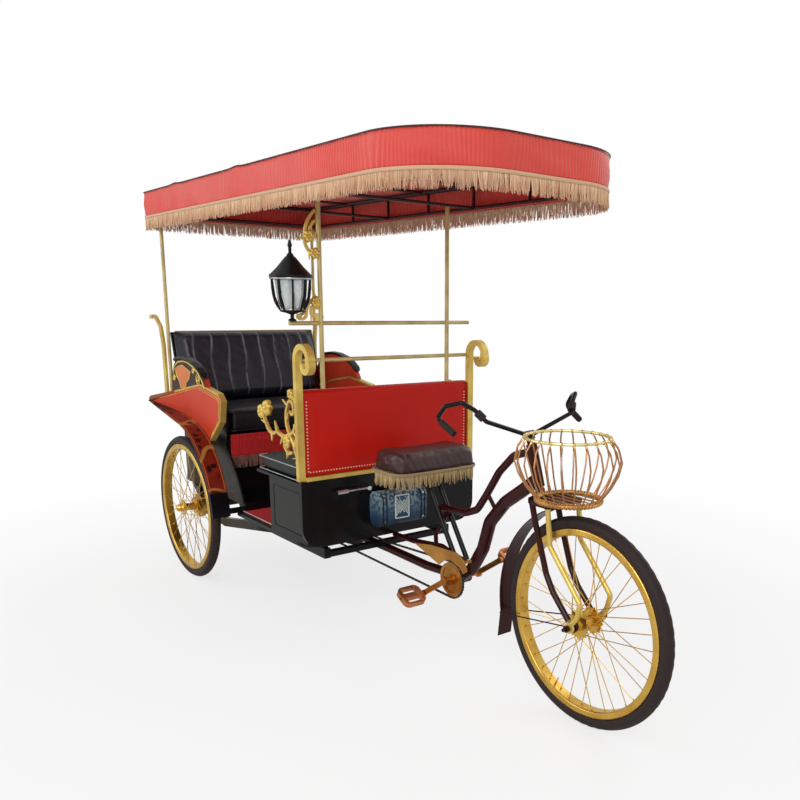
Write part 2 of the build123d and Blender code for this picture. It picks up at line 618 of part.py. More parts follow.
# Columns: name, inset from the outline, foot height, height
with BuildPart() as canopy_cloth:
    for inset, z0, z1, mode in (
        (0.0, VALANCE_Z0, VALANCE_Z1, Mode.ADD),
        (CLOTH_T, VALANCE_Z0 - 1, VALANCE_Z1 - CLOTH_T, Mode.SUBTRACT),
    ):
        with BuildSketch(Plane.XY.offset(z0)) as plan:
            with Locations(((CANOPY_X0 + CANOPY_X1) / 2, 0)):
                Rectangle(CANOPY_X1 - CANOPY_X0 - 2 * inset, 2 * (CANOPY_HALF - inset))
            fillet(plan.vertices().group_by(Axis.X)[-1], CANOPY_FRONT_R - inset)
            fillet(plan.vertices().group_by(Axis.X)[0], CANOPY_REAR_R - inset)
        extrude(amount=z1 - z0, mode=mode)
    with BuildSketch(Plane.XY.offset(VALANCE_Z1)) as crown:
        with Locations(((CANOPY_X0 + CANOPY_X1) / 2, 0)):
            Rectangle(CANOPY_X1 - CANOPY_X0, 2 * CANOPY_HALF)
        fillet(crown.vertices().group_by(Axis.X)[-1], CANOPY_FRONT_R)
        fillet(crown.vertices().group_by(Axis.X)[0], CANOPY_REAR_R)
    extrude(amount=ROOF_RISE, taper=60)
canopy_cloth.part.label = "canopy_cloth"
export_step(canopy_cloth.part, "parts/canopy_cloth.step")
with BuildPart() as canopy_fringe:
    with BuildSketch(Plane.XY.offset(FRINGE_Z0)) as band:
        with Locations(((CANOPY_X0 + CANOPY_X1) / 2, 0)):
            Rectangle(CANOPY_X1 - CANOPY_X0 + 2 * FRINGE_T, 2 * (CANOPY_HALF + FRINGE_T))
        fillet(band.vertices().group_by(Axis.X)[-1], CANOPY_FRONT_R + FRINGE_T)
        fillet(band.vertices().group_by(Axis.X)[0], CANOPY_REAR_R + FRINGE_T)
    extrude(amount=VALANCE_Z0 + 4 - FRINGE_Z0)
    with BuildSketch(Plane.XY.offset(FRINGE_Z0)) as band_in:
        with Locations(((CANOPY_X0 + CANOPY_X1) / 2, 0)):
            Rectangle(CANOPY_X1 - CANOPY_X0 + 2 * SEAT_CLEARANCE, 2 * (CANOPY_HALF + SEAT_CLEARANCE))
        fillet(band_in.vertices().group_by(Axis.X)[-1], CANOPY_FRONT_R + SEAT_CLEARANCE)
        fillet(band_in.vertices().group_by(Axis.X)[0], CANOPY_REAR_R + SEAT_CLEARANCE)
    extrude(amount=VALANCE_Z0 + 4 - FRINGE_Z0, mode=Mode.SUBTRACT)
canopy_fringe.part.label = "canopy_fringe"
export_step(canopy_fringe.part, "parts/canopy_fringe.step")
ring_half = CANOPY_HALF - RING_INSET
rx0 = CANOPY_X0 + RING_INSET
rx1 = CANOPY_X1 - RING_INSET
nose_r = CANOPY_FRONT_R - RING_INSET
nose_d = nose_r * (1 - math.sqrt(0.5))
CROSS_X = (REAR_POST_X1, 140.0, 470.0, 800.0, FRONT_POST_X, 1480.0, 1740.0)
LONG_Y = (-REAR_POST_Y1, -150.0, 150.0, REAR_POST_Y1)
with BuildPart() as canopy_frame:
    for ring_z in (LOW_RING_Z, HIGH_RING_Z):
        with BuildLine(Plane.XY.offset(ring_z)):
            Polyline(
                (rx1 - nose_r, ring_half),
                (rx0 + 40, ring_half),
                (rx0, ring_half - 40),
                (rx0, -ring_half + 40),
                (rx0 + 40, -ring_half),
                (rx1 - nose_r, -ring_half),
            )
            ThreePointArc((rx1 - nose_r, -ring_half), (rx1 - nose_d, -ring_half + nose_d), (rx1, -ring_half + nose_r))
            Line((rx1, -ring_half + nose_r), (rx1, ring_half - nose_r))
            ThreePointArc((rx1, ring_half - nose_r), (rx1 - nose_d, ring_half - nose_d), (rx1 - nose_r, ring_half))
        with BuildSketch(Plane(origin=(rx1 - nose_r, ring_half, ring_z), z_dir=(-1, 0, 0))):
            RegularPolygon(RING_R_TUBE, 8)
        sweep(transition=Transition.RIGHT)
    for x in CROSS_X:
        for bar_z in (LOW_RING_Z, HIGH_RING_Z):
            if bar_z == LOW_RING_Z and x not in (REAR_POST_X1, 470.0, FRONT_POST_X):
                continue
            with BuildSketch(Plane.XZ.offset(-ring_half)):
                with Locations((AX + x, bar_z)):
                    RegularPolygon(RING_R_TUBE, 6)
            extrude(amount=2 * ring_half)
        for s in (-1, 1):
            with Locations((AX + x, s * ring_half, (LOW_RING_Z + HIGH_RING_Z) / 2)):
                if x < 1500:
                    Box(9, 9, HIGH_RING_Z - LOW_RING_Z)
    for y in LONG_Y:
        with BuildSketch(Plane.YZ.offset(rx0)):
            with Locations((y, HIGH_RING_Z)):
                RegularPolygon(RING_R_TUBE, 6)
        extrude(amount=(rx1 - nose_r * 0.6 if abs(y) > 300 else rx1) - rx0)
canopy_frame.part.label = "canopy_frame"
export_step(canopy_frame.part, "parts/canopy_frame.step")

# Carriage lantern on the right end of the upper rail: metalwork, glass and gold scroll brackets.
# Profiles are (radius, height) turned round the lantern's stem.
LAMP_X = AX + FRONT_POST_X
LAMP_Y = -424.0
LAMP_AXIS = Axis((LAMP_X, LAMP_Y, 0), (0, 0, 1))
LAMP_FOOT = UPPER_RAIL_Z + RAIL_R + SEAT_CLEARANCE
EAVE_Z = 1452.0
EAVE_R = 79.0
LAMP_RIBS = 8
FOOT_PROFILE = [(0, LAMP_FOOT), (15, LAMP_FOOT), (15, LAMP_FOOT + 5), (7, LAMP_FOOT + 10), (7, 1320), (30, 1328), (41, 1338), (0, 1338)]
ROOF_PROFILE = [(0, EAVE_Z), (EAVE_R, EAVE_Z), (EAVE_R, EAVE_Z + 9), (50, 1490), (22, 1524), (16, 1530), (0, 1530)]
TOP_PROFILE = [(0, 1526), (13, 1526), (13, 1536), (6, 1542), (6, 1562), (9, 1568), (4, 1588), (0, 1590)]
with BuildPart() as lantern:
    for sides, profile in ((0, FOOT_PROFILE), (0, TOP_PROFILE), (0, ROOF_PROFILE)):
        with BuildSketch(Plane(origin=(LAMP_X, LAMP_Y, 0), x_dir=(1, 0, 0), z_dir=(0, -1, 0))):
            with BuildLine():
                Polyline(*profile, close=True)
            make_face()
        revolve(axis=LAMP_AXIS)
    for k in range(LAMP_RIBS):
        a = math.radians(22.5 + k * 360.0 / LAMP_RIBS)
        low = Vector(LAMP_X + 41 * math.cos(a), LAMP_Y + 41 * math.sin(a), 1334)
        mid = Vector(LAMP_X + 60 * math.cos(a), LAMP_Y + 60 * math.sin(a), 1385)
        high = Vector(LAMP_X + 68 * math.cos(a), LAMP_Y + 68 * math.sin(a), EAVE_Z + 2)
        for p, q in ((low, mid), (mid, high)):
            with BuildSketch(Plane(origin=p, x_dir=(-math.sin(a), math.cos(a), 0), z_dir=q - p)):
                Rectangle(7, 5)
            extrude(amount=(q - p).length + 1)
lantern.part.label = "lantern"
export_step(lantern.part, "parts/lantern.step")
GLASS_PROFILE = [(0, 1338.5), (34, 1338.5), (53, 1385), (61, EAVE_Z - 0.5), (0, EAVE_Z - 0.5)]
with BuildPart() as lantern_glass:
    with BuildSketch(Plane(origin=(LAMP_X, LAMP_Y, 0), x_dir=(1, 0, 0), z_dir=(0, -1, 0))):
        with BuildLine():
            Polyline(*GLASS_PROFILE, close=True)
        make_face()
    revolve(axis=LAMP_AXIS)
lantern_glass.part.label = "lantern_glass"
export_step(lantern_glass.part, "parts/lantern_glass.step")
SCROLL_WIRE = 10.0
# Each scroll is a run of arcs given by three points (y, z)
LAMP_SCROLLS = [
    [(-318.3, 1700.0), (-352.0, 1655.0), (-362.0, 1605.0)],
    [(-362.0, 1605.0), (-345.0, 1553.0), (-318.3, 1540.0)],
    [(-318.3, 1662.0), (-338.0, 1640.0), (-334.0, 1612.0)],
    [(-334.0, 1612.0), (-326.0, 1605.0), (-324.0, 1617.0)],
    [(-318.3, 1385.0), (-352.0, 1362.0), (-366.0, 1322.0)],
    [(-366.0, 1322.0), (-386.0, 1303.0), (-404.0, 1316.0)],
    [(-318.3, 1338.0), (-332.0, 1352.0), (-344.0, 1334.0)],
    [(-344.0, 1334.0), (-336.0, 1316.0), (-322.0, 1326.0)],
]
with BuildPart() as lamp_bracket:
    for arc in LAMP_SCROLLS:
        with BuildSketch(Plane.YZ.offset(LAMP_X - SCROLL_WIRE / 2)):
            with BuildLine():
                ThreePointArc(*arc)
            trace(line_width=SCROLL_WIRE)
        extrude(amount=SCROLL_WIRE)
    with Locations((LAMP_X, -326.3, 1545), (LAMP_X, -348, 1606), (LAMP_X, -326.3, 1366)):
        Sphere(13)
lamp_bracket.part.label = "lamp_bracket"
export_step(lamp_bracket.part, "parts/lamp_bracket.step")

# Gold scrollwork at both ends of the front seat, with rosettes
SIDE_SCROLL_Y = 398.0
SIDE_SCROLL_W = 12.0
SIDE_SCROLLS = [
    [(1074.0, 742.0), (1050.0, 796.0), (1010.0, 850.0)],
    [(1010.0, 850.0), (985.0, 905.0), (1005.0, 965.0)],
    [(1005.0, 965.0), (1030.0, 984.0), (1050.0, 956.0)],
    [(1050.0, 956.0), (1040.0, 932.0), (1024.0, 946.0)],
    [(1010.0, 850.0), (960.0, 835.0), (900.0, 848.0)],
    [(900.0, 848.0), (838.0, 838.0), (800.0, 872.0)],
    [(800.0, 872.0), (786.0, 905.0), (812.0, 925.0)],
    [(1050.0, 796.0), (1072.0, 856.0), (1077.0, 930.0)],
    [(1077.0, 930.0), (1068.0, 980.0), (1044.0, 1008.0)],
    [(1010.0, 850.0), (1042.0, 862.0), (1058.0, 895.0)],
    [(960.0, 800.0), (985.0, 775.0), (1030.0, 778.0)],
    [(1010.0, 850.0), (985.0, 820.0), (960.0, 800.0)],
]
ROSETTES = [(762.0, 915.0, 30.0), (815.0, 935.0, 33.0), (985.0, 815.0, 27.0), (1030.0, 1012.0, 20.0)]
with BuildPart() as side_scrolls:
    for s in (-1, 1):
        for arc in SIDE_SCROLLS:
            with BuildSketch(Plane.XZ.offset(-s * SIDE_SCROLL_Y)):
                with BuildLine():
                    ThreePointArc(*[(AX + x, z) for x, z in arc])
                trace(line_width=SIDE_SCROLL_W)
            extrude(amount=s * SIDE_SCROLL_W)
        for x, z, r in ROSETTES:
            with BuildSketch(Plane.XZ.offset(-s * (SIDE_SCROLL_Y + 2))):
                with Locations((AX + x, z)):
                    Circle(r * 0.5)
                    with PolarLocations(r * 0.62, 5):
                        Circle(r * 0.38)
            extrude(amount=s * (SIDE_SCROLL_W + 4))
    with Locations((AX + 1073.4, -SIDE_SCROLL_Y + 6, 740), (AX + 1073.4, SIDE_SCROLL_Y - 6, 740)):
        Box(26.6, 12, 9)
side_scrolls.part.label = "side_scrolls"
export_step(side_scrolls.part, "parts/side_scrolls.step")

# Cycle frame: head tube, swan-neck top tube, thick curved down tube, stays and crank shell.
# Tubes are named runs of (x, z) on the centre plane with a radius and a bend radius.
HEAD_R = 19.0
STEERER_R = 14.0
TUBES = [
    (14.0, 55.0, [(2003.0, 886.0), (1912.0, 858.0), (1835.0, 786.0), (1768.0, 690.0), (1715.0, 622.0), (1648.0, 596.0), (1503.0, 588.0)]),
    (24.0, 60.0, [(2030.0, 792.0), (1960.0, 742.0), (1872.0, 682.0), (1790.0, 592.0), (1752.0, 480.0), (1690.0, 385.0), (1636.0, 345.0)]),
    (8.0, 0.0, [(1781.0, 686.0), (1828.0, 634.0)]),
    (18.0, 60.0, [(905.0, 327.0), (1130.0, 327.0), (1400.0, 322.0), (1612.0, 335.0)]),
    (11.0, 40.0, [(1164.0, 402.0), (1300.0, 404.0), (1500.0, 428.0), (1640.0, 402.0)]),
    (9.0, 25.0, [(1536.0, 578.0), (1500.0, 520.0), (1458.0, 470.0), (1462.0, 415.0)]),
]
MAST_INNER_Y = 15.0
MAST_LUGS = [(1501.0, 588.0), (1626.0, 404.0)]
with BuildPart() as cycle_frame:
    for tube_r, bend, path in TUBES:
        with BuildLine() as run:
            points = [(AX + x, 0, z) for x, z in path]
            if bend:
                FilletPolyline(*points, radius=bend)
            else:
                Polyline(*points)
        with BuildSketch(Plane(origin=run.line @ 0, x_dir=(0, 1, 0), z_dir=run.line % 0)):
            RegularPolygon(tube_r, 14)
        sweep()
    with BuildSketch(HEAD_PLANE.offset(60)):
        Circle(HEAD_R)
    extrude(amount=146)
    with BuildSketch(Plane.XZ.offset(-34)):
        with Locations((AX + BB_X, BB_Z)):
            Circle(24)
    extrude(amount=68)
    for lug_x, lug_z in MAST_LUGS:
        with BuildSketch(Plane.XZ.offset(-MAST_INNER_Y + SEAT_CLEARANCE)):
            with Locations((AX + lug_x, lug_z)):
                Circle(12)
        extrude(amount=2 * (MAST_INNER_Y - SEAT_CLEARANCE))
    with BuildSketch(HEAD_PLANE.offset(50)):
        Circle(STEERER_R + PIN_CLEARANCE)
    extrude(amount=170, mode=Mode.SUBTRACT)
    with BuildSketch(Plane.XZ.offset(-50)):
        with Locations((AX + BB_X, BB_Z)):
            Circle(9 + PIN_CLEARANCE)
    extrude(amount=100, mode=Mode.SUBTRACT)
cycle_frame.part.label = "cycle_frame"
export_step(cycle_frame.part, "parts/cycle_frame.step")

# Twin-tube seat mast and the plate under the saddle
MAST_R = 10.0
mast_low = Vector(AX + 1628.0, 0, 400.0)
mast_high = Vector(AX + 1413.0, 0, SADDLE_Z0 - 12.0)
with BuildPart() as seat_mast:
    for s in (-1, 1):
        with BuildSketch(Plane(origin=mast_low + Vector(0, s * (MAST_INNER_Y + MAST_R), 0), x_dir=(0, 1, 0), z_dir=mast_high - mast_low)):
            Circle(MAST_R)
        extrude(amount=(mast_high - mast_low).length)
    with Locations((AX + SADDLE_X + 10, 0, SADDLE_Z0 - 8)):
        Box(150, 230, 15)
seat_mast.part.label = "seat_mast"
export_step(seat_mast.part, "parts/seat_mast.step")

# Saddle: a wide leather bench with a fringe hanging from its edge
with BuildPart() as saddle:
    with BuildSketch(Plane.XY.offset(SADDLE_Z0)):
        with Locations((AX + SADDLE_X, 0)):
            RectangleRounded(SADDLE_D, SADDLE_W, 55)
    extrude(amount=SADDLE_Z1 - SADDLE_Z0)
    fillet(saddle.faces().sort_by(Axis.Z)[-1].edges(), 26)
saddle.part.label = "saddle"
export_step(saddle.part, "parts/saddle.step")
SADDLE_FRINGE_Z0 = 670.0
with BuildPart() as saddle_fringe:
    with BuildSketch(Plane.XY.offset(SADDLE_FRINGE_Z0)):
        with Locations((AX + SADDLE_X, 0)):
            RectangleRounded(SADDLE_D - 6, SADDLE_W - 6, 52)
            RectangleRounded(SADDLE_D - 16, SADDLE_W - 16, 47, mode=Mode.SUBTRACT)
    extrude(amount=SADDLE_Z0 - SEAT_CLEARANCE - SADDLE_FRINGE_Z0)
saddle_fringe.part.label = "saddle_fringe"
export_step(saddle_fringe.part, "parts/saddle_fringe.step")

# Chain: one closed loop from the chain ring, over an idler under the floor, to the rear cog
CHAIN_T = 8.0
CHAIN_W = 7.0
ring_r = RING_R + 2
with BuildPart() as chain:
    with BuildSketch(Plane.XZ.offset(-RING_Y - CHAIN_W / 2)):
        with BuildLine():
            ThreePointArc((AX, WZ + COG_R), (AX - COG_R, WZ), (AX, WZ - COG_R))
            Line((AX, WZ - COG_R), (AX + BB_X, BB_Z - ring_r))
            ThreePointArc(
                (AX + BB_X, BB_Z - ring_r),
                (AX + BB_X + ring_r, BB_Z),
                (AX + BB_X, BB_Z + ring_r),
            )
            Polyline(
                (AX + BB_X, BB_Z + ring_r),
                (AX + 1200, 381),
                (AX + 430, 385),
                (AX, WZ + COG_R),
            )
        trace(line_width=CHAIN_T)
    extrude(amount=CHAIN_W)
chain.part.label = "chain"
export_step(chain.part, "parts/chain.step")

# Gold blade over the chain ring
BLADE = [(1404, 431), (1520, 450), (1674, 458), (1722, 434), (1738, 400), (1716, 384), (1694, 404), (1640, 419), (1600, 408), (1566, 383)]
with BuildPart() as chain_guard:
    with BuildSketch(Plane.XZ.offset(62)):
        with BuildLine():
            Polyline(*[(AX + x, z) for x, z in BLADE], close=True)
        make_face()
    extrude(amount=4)
    with Locations((AX + 1712, -43.15, 427)):
        Box(12, 37.7, 8)
chain_guard.part.label = "chain_guard"
export_step(chain_guard.part, "parts/chain_guard.step")

# Cranks: axle, toothed ring with windows, two arms and the pedal spindles
ARM_Y0 = 78.0
ARM_T = 12.0
PEDAL_PIN_R = 5.0
PEDAL_Y0 = 97.0
PEDAL_W = 98.0
PEDAL_L = 90.0
PEDAL_T = 22.0
PEDAL_TILT = 28.0
crank_a = math.radians(CRANK_DEG)
crank_vec = (CRANK_LEN * math.cos(crank_a), CRANK_LEN * math.sin(crank_a))
with BuildPart() as crankset:
    with BuildSketch(Plane.XZ.offset(-ARM_Y0 - ARM_T)):
        with Locations((AX + BB_X, BB_Z)):
            Circle(9)
    extrude(amount=2 * (ARM_Y0 + ARM_T))
    with BuildSketch(Plane.XZ.offset(-RING_Y - 2)):
        with Locations((AX + BB_X, BB_Z)):
            Circle(RING_R - 2.6)
    extrude(amount=4)
    with BuildSketch(Plane.XZ.offset(-RING_Y + 2)):
        with Locations((AX + BB_X, BB_Z)):
            Circle(RING_R - 12)
            Circle(RING_R - 20, mode=Mode.SUBTRACT)
    extrude(amount=3)
    with BuildSketch(Plane.XZ.offset(-RING_Y - 9)):
        with Locations((AX + BB_X, BB_Z)):
            Circle(22)
    extrude(amount=18)
    for s in (-1, 1):
        px = AX + BB_X - s * crank_vec[0]
        pz = BB_Z - s * crank_vec[1]
        with BuildSketch(Plane.XZ.offset(-s * ARM_Y0)):
            with BuildLine():
                Line((AX + BB_X, BB_Z), (px, pz))
            trace(line_width=20)
            with Locations((AX + BB_X, BB_Z)):
                Circle(17)
            with Locations((px, pz)):
                Circle(12)
        extrude(amount=-s * ARM_T)
        with BuildSketch(Plane.XZ.offset(-s * ARM_Y0)):
            with Locations((px, pz)):
                Circle(PEDAL_PIN_R)
        extrude(amount=-s * (PEDAL_Y0 + PEDAL_W - ARM_Y0 - 8))
crankset.part.label = "crankset"
export_step(crankset.part, "parts/crankset.step")
tilt = math.radians(PEDAL_TILT)
for side_name, s in (("right", -1), ("left", 1)):
    px = AX + BB_X - s * crank_vec[0]
    pz = BB_Z - s * crank_vec[1]
    with BuildPart() as pedal:
        tread = Plane(
            origin=(px, s * (PEDAL_Y0 + PEDAL_W / 2), pz),
            x_dir=(math.cos(tilt), 0, -math.sin(tilt)),
            z_dir=(math.sin(tilt), 0, math.cos(tilt)),
        )
        with BuildSketch(tread.offset(-PEDAL_T / 2)):
            RectangleRounded(PEDAL_L, PEDAL_W, 24)
            with Locations((-23, 0), (23, 0)):
                RectangleRounded(24, PEDAL_W - 30, 8, mode=Mode.SUBTRACT)
        extrude(amount=PEDAL_T)
        with BuildSketch(Plane.XZ.offset(-s * (PEDAL_Y0 - 1))):
            with Locations((px, pz)):
                Circle(PEDAL_PIN_R + PIN_CLEARANCE)
        extrude(amount=-s * (PEDAL_W + 4), mode=Mode.SUBTRACT)
    pedal.part.label = side_name + "_pedal"
    export_step(pedal.part, "parts/" + pedal.part.label + ".step")

# Motor in front of the kick panel, and the parking lever above it
LEVER_Z = 628.0
MOTOR_X0 = BULK_X1 - 12 + SEAT_CLEARANCE + 20 + SEAT_CLEARANCE
with BuildPart() as motor:
    with BuildSketch(Plane.XZ.offset(-110)):
        with Locations((AX + MOTOR_X0 + 42, 537)):
            RectangleRounded(84, 150, 38)
    extrude(amount=232)
motor.part.label = "motor"
export_step(motor.part, "parts/motor.step")
with BuildPart() as parking_lever:
    with BuildSketch(Plane.XZ.offset(128)):
        with Locations((AX + 1190, LEVER_Z)):
            Circle(4)
    extrude(amount=150)
    with BuildSketch(Plane.XZ.offset(240)):
        with Locations((AX + 1190, LEVER_Z)):
            Circle(9)
    extrude(amount=48)
    with Locations((AX + (MOTOR_X0 + 1196) / 2, -140, LEVER_Z)):
        Box(1196 - MOTOR_X0, 14, 16)
parking_lever.part.label = "parking_lever"
export_step(parking_lever.part, "parts/parking_lever.step")

# Fork: steerer, crown plate and the dark rear legs with the axle; then the gold front legs
REAR_LEG_Y = 58.0
FRONT_LEG_Y = 72.0
AXLE_HALF = 104.0
REAR_LEG = [(2066.0, 734.0), (2090.0, 655.0), (2146.0, 500.0), (2180.0, 446.0), (2254.0, 370.0)]
FRONT_LEG = [(2157.0, 726.2), (2172.0, 605.0), (2256.0, 512.0), (2316.0, 445.0), (2302.0, 396.0), (2276.0, 362.0)]
CROWN_Z = 728.0
CROWN = [(2036.0, 20.0), (2056.0, 66.0), (2086.0, 82.0), (2168.0, 82.0)]
STEM_FOOT = 224.0
with BuildPart() as fork:
    with BuildSketch(HEAD_PLANE.offset(16)):
        Circle(STEERER_R)
    extrude(amount=STEM_FOOT - 16)
    with BuildSketch(HEAD_PLANE.offset(16)):
        Circle(16.5)
    extrude(amount=38)
    with BuildSketch(Plane.XY.offset(CROWN_Z)):
        with BuildLine():
            Polyline(*[(AX + x, y) for x, y in CROWN + [(x, -y) for x, y in reversed(CROWN)]], close=True)
        make_face()
        fillet(vertices(), 8)
    extrude(amount=16)
    for s in (-1, 1):
        with BuildLine() as leg:
            FilletPolyline(*[(AX + x, s * REAR_LEG_Y, z) for x, z in REAR_LEG], radius=30)
        with BuildSketch(Plane(origin=leg.line @ 0, x_dir=(0, 1, 0), z_dir=leg.line % 0)):
            RegularPolygon(10.5, 12)
        sweep()
        with BuildSketch(Plane.XZ.offset(-s * (REAR_LEG_Y - 4))):
            with Locations((FX, WZ)):
                Circle(20)
        extrude(amount=-s * 8)
        with BuildSketch(Plane.XZ.offset(-s * (FRONT_LEG_Y + 10))):
            with Locations((FX, WZ)):
                Circle(11)
        extrude(amount=-s * 10)
    with BuildSketch(Plane.XZ.offset(-AXLE_HALF)):
        with Locations((FX, WZ)):
            Circle(AXLE_R["front"])
    extrude(amount=2 * AXLE_HALF)
fork.part.label = "fork"
export_step(fork.part, "parts/fork.step")
with BuildPart() as fork_front_legs:
    for s in (-1, 1):
        with BuildLine() as leg:
            FilletPolyline(*[(AX + x, s * FRONT_LEG_Y, z) for x, z in FRONT_LEG], radius=20)
        with BuildSketch(Plane(origin=leg.line @ 0, x_dir=(0, 1, 0), z_dir=leg.line % 0)):
            RegularPolygon(9, 12)
        sweep()
        with BuildSketch(Plane.XZ.offset(-s * (FRONT_LEG_Y - 3))):
            with Locations((FX, WZ)):
                Circle(18)
        extrude(amount=-s * 9)
    with BuildSketch(Plane.XZ.offset(-AXLE_HALF)):
        with Locations((FX, WZ)):
            Circle(AXLE_R["front"] + 0.2)
    extrude(amount=2 * AXLE_HALF, mode=Mode.SUBTRACT)
fork_front_legs.part.label = "fork_front_legs"
export_step(fork_front_legs.part, "parts/fork_front_legs.step")

# Handlebar: stem and a bar that rises to each side, sweeps back and turns down at the grip
BAR_R = 7.5
BAR = [(1987.5, 0.0, 936.5), (1990.0, 196.0, 1001.0), (1966.0, 226.0, 1038.0), (1944.0, 262.0, 1062.0),
       (1898.0, 292.0, 1048.0), (1864.0, 300.0, 1006.0), (1945.0, 290.0, 962.0)]
with BuildPart() as handlebar:
    with BuildSketch(HEAD_PLANE.offset(STEM_FOOT + SEAT_CLEARANCE)):
        Circle(17)
    extrude(amount=28)
    for s in (-1, 1):
        with BuildLine() as bar:
            FilletPolyline(*[(AX + x, s * y, z) for x, y, z in BAR], radius=14)
        with BuildSketch(Plane(origin=bar.line @ 0, z_dir=bar.line % 0)):
            Circle(BAR_R)
        sweep()
handlebar.part.label = "handlebar"
export_step(handlebar.part, "parts/handlebar.step")
grip_from = Vector(*BAR[-2])
grip_to = Vector(*BAR[-1])
sleeve_from = Vector(*BAR[1])
sleeve_to = Vector(*BAR[3])
GRIP_R = 10.5
with BuildPart() as grips:
    for s in (-1, 1):
        g0 = Vector(AX + grip_from.X, s * grip_from.Y, grip_from.Z)
        g1 = Vector(AX + grip_to.X, s * grip_to.Y, grip_to.Z)
        gd = (g1 - g0).normalized()
        with BuildSketch(Plane(origin=g0 + gd * 22, z_dir=gd)):
            Circle(GRIP_R)
            Circle(BAR_R + 0.2, mode=Mode.SUBTRACT)
        extrude(amount=(g1 - g0).length - 24)
        c0 = Vector(AX + BAR[1][0], s * BAR[1][1], BAR[1][2])
        c1 = Vector(AX + BAR[2][0], s * BAR[2][1], BAR[2][2])
        cd = (c1 - c0).normalized()
        with BuildSketch(Plane(origin=c0 + cd * 12, z_dir=cd)):
            Circle(GRIP_R + 2.5)
            Circle(BAR_R + 0.2, mode=Mode.SUBTRACT)
        extrude(amount=(c1 - c0).length - 22)
grips.part.label = "grips"
export_step(grips.part, "parts/grips.step")

# Basket: gold wires between a top ring and a thick foot ring, bellied in front, flat at the back
BASKET_X = 2178.0
BASKET_TOP_Z = 955.0
BASKET_TOP_R = 140.0
BASKET_FOOT_R = 104.0
FOOT_RING_R = 8.0
BASKET_FOOT_Z = CROWN_Z + 16 + SEAT_CLEARANCE + FOOT_RING_R
BASKET_GAP = 9.0
WIRES = 24
WIRE_R = 2.9
# Columns: height, radius of the wires there
BELLY = [(BASKET_TOP_Z, 140.0), (922.0, 164.0), (880.0, 174.0), (840.0, 163.0), (795.0, 138.0), (BASKET_FOOT_Z, BASKET_FOOT_R)]
BASKET_LEAN = 14.0
with BuildPart() as basket:
    for ring_z, ring_rad, wire in ((BASKET_TOP_Z, BASKET_TOP_R, 5.0), (BASKET_FOOT_Z, BASKET_FOOT_R, FOOT_RING_R)):
        ring_x = AX + BASKET_X - BASKET_LEAN * (ring_z - BASKET_FOOT_Z) / (BASKET_TOP_Z - BASKET_FOOT_Z)
        with BuildSketch(Plane(origin=(ring_x + ring_rad, 0, ring_z), z_dir=(0, 1, 0))):
            RegularPolygon(wire, 8)
        revolve(axis=Axis((ring_x, 0, 0), (0, 0, 1)))
    for k in range(WIRES):
        a = math.radians((k + 0.5) * 360.0 / WIRES)
        wire_pts = []
        for z, r in BELLY:
            back_x = HEAD_X - (z - HEAD_Z) * TAN_RAKE + (HEAD_R + BASKET_GAP) / math.cos(math.radians(RAKE))
            middle_x = BASKET_X - BASKET_LEAN * (z - BASKET_FOOT_Z) / (BASKET_TOP_Z - BASKET_FOOT_Z)
            limit = (middle_x - back_x) / -math.cos(a) if math.cos(a) < -0.3 else 1000.0
            reach = min(r, max(limit, BASKET_FOOT_R))
            wire_pts.append((AX + middle_x + reach * math.cos(a), reach * math.sin(a), z))
        with BuildLine() as wire_line:
            Polyline(*wire_pts)
        with BuildSketch(Plane(origin=wire_line.line @ 0, z_dir=wire_line.line % 0)):
            RegularPolygon(WIRE_R, 5)
        sweep(transition=Transition.RIGHT)
    for y in (-75.0, -45.0, -15.0, 15.0, 45.0, 75.0):
        reach = math.sqrt(BASKET_FOOT_R**2 - y**2)
        with Locations((AX + BASKET_X, y, BASKET_FOOT_Z)):
            Box(2 * reach, 4, 4)
basket.part.label = "basket"
export_step(basket.part, "parts/basket.step")

# Front mudguard behind the wheel with a straight flap, and its thin stays
GUARD_FRONT_R = 388.0
GUARD_FRONT_T = 4.0
GUARD_A0 = 118.0
GUARD_A1 = 190.0
GUARD_HALF = 31.0
with BuildPart() as front_fender:
    with BuildSketch(Plane.XZ.offset(-GUARD_HALF)):
        with BuildLine():
            sweep_arc = CenterArc((FX, WZ), GUARD_FRONT_R, GUARD_A0, GUARD_A1 - GUARD_A0)
            Line(sweep_arc @ 1, (AX + 1880, 186))
        trace(line_width=GUARD_FRONT_T)
    extrude(amount=2 * GUARD_HALF)
    with Locations((AX + 2092, 0, 713)):
        Box(14, 30, 29)
    for s in (-1, 1):
        stay_hub = Vector(FX - 21, s * 66, WZ - 4)
        stay_rim = Vector(FX - GUARD_FRONT_R, s * (GUARD_HALF - 2), WZ - 78)
        with BuildSketch(Plane(origin=stay_hub, z_dir=stay_rim - stay_hub)):
            RegularPolygon(2.5, 6)
        extrude(amount=(stay_rim - stay_hub).length)
front_fender.part.label = "front_fender"
export_step(front_fender.part, "parts/front_fender.step")
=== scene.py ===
import bpy
import bmesh
import json
import math
import numpy as np
from mathutils import Color, Matrix, Vector


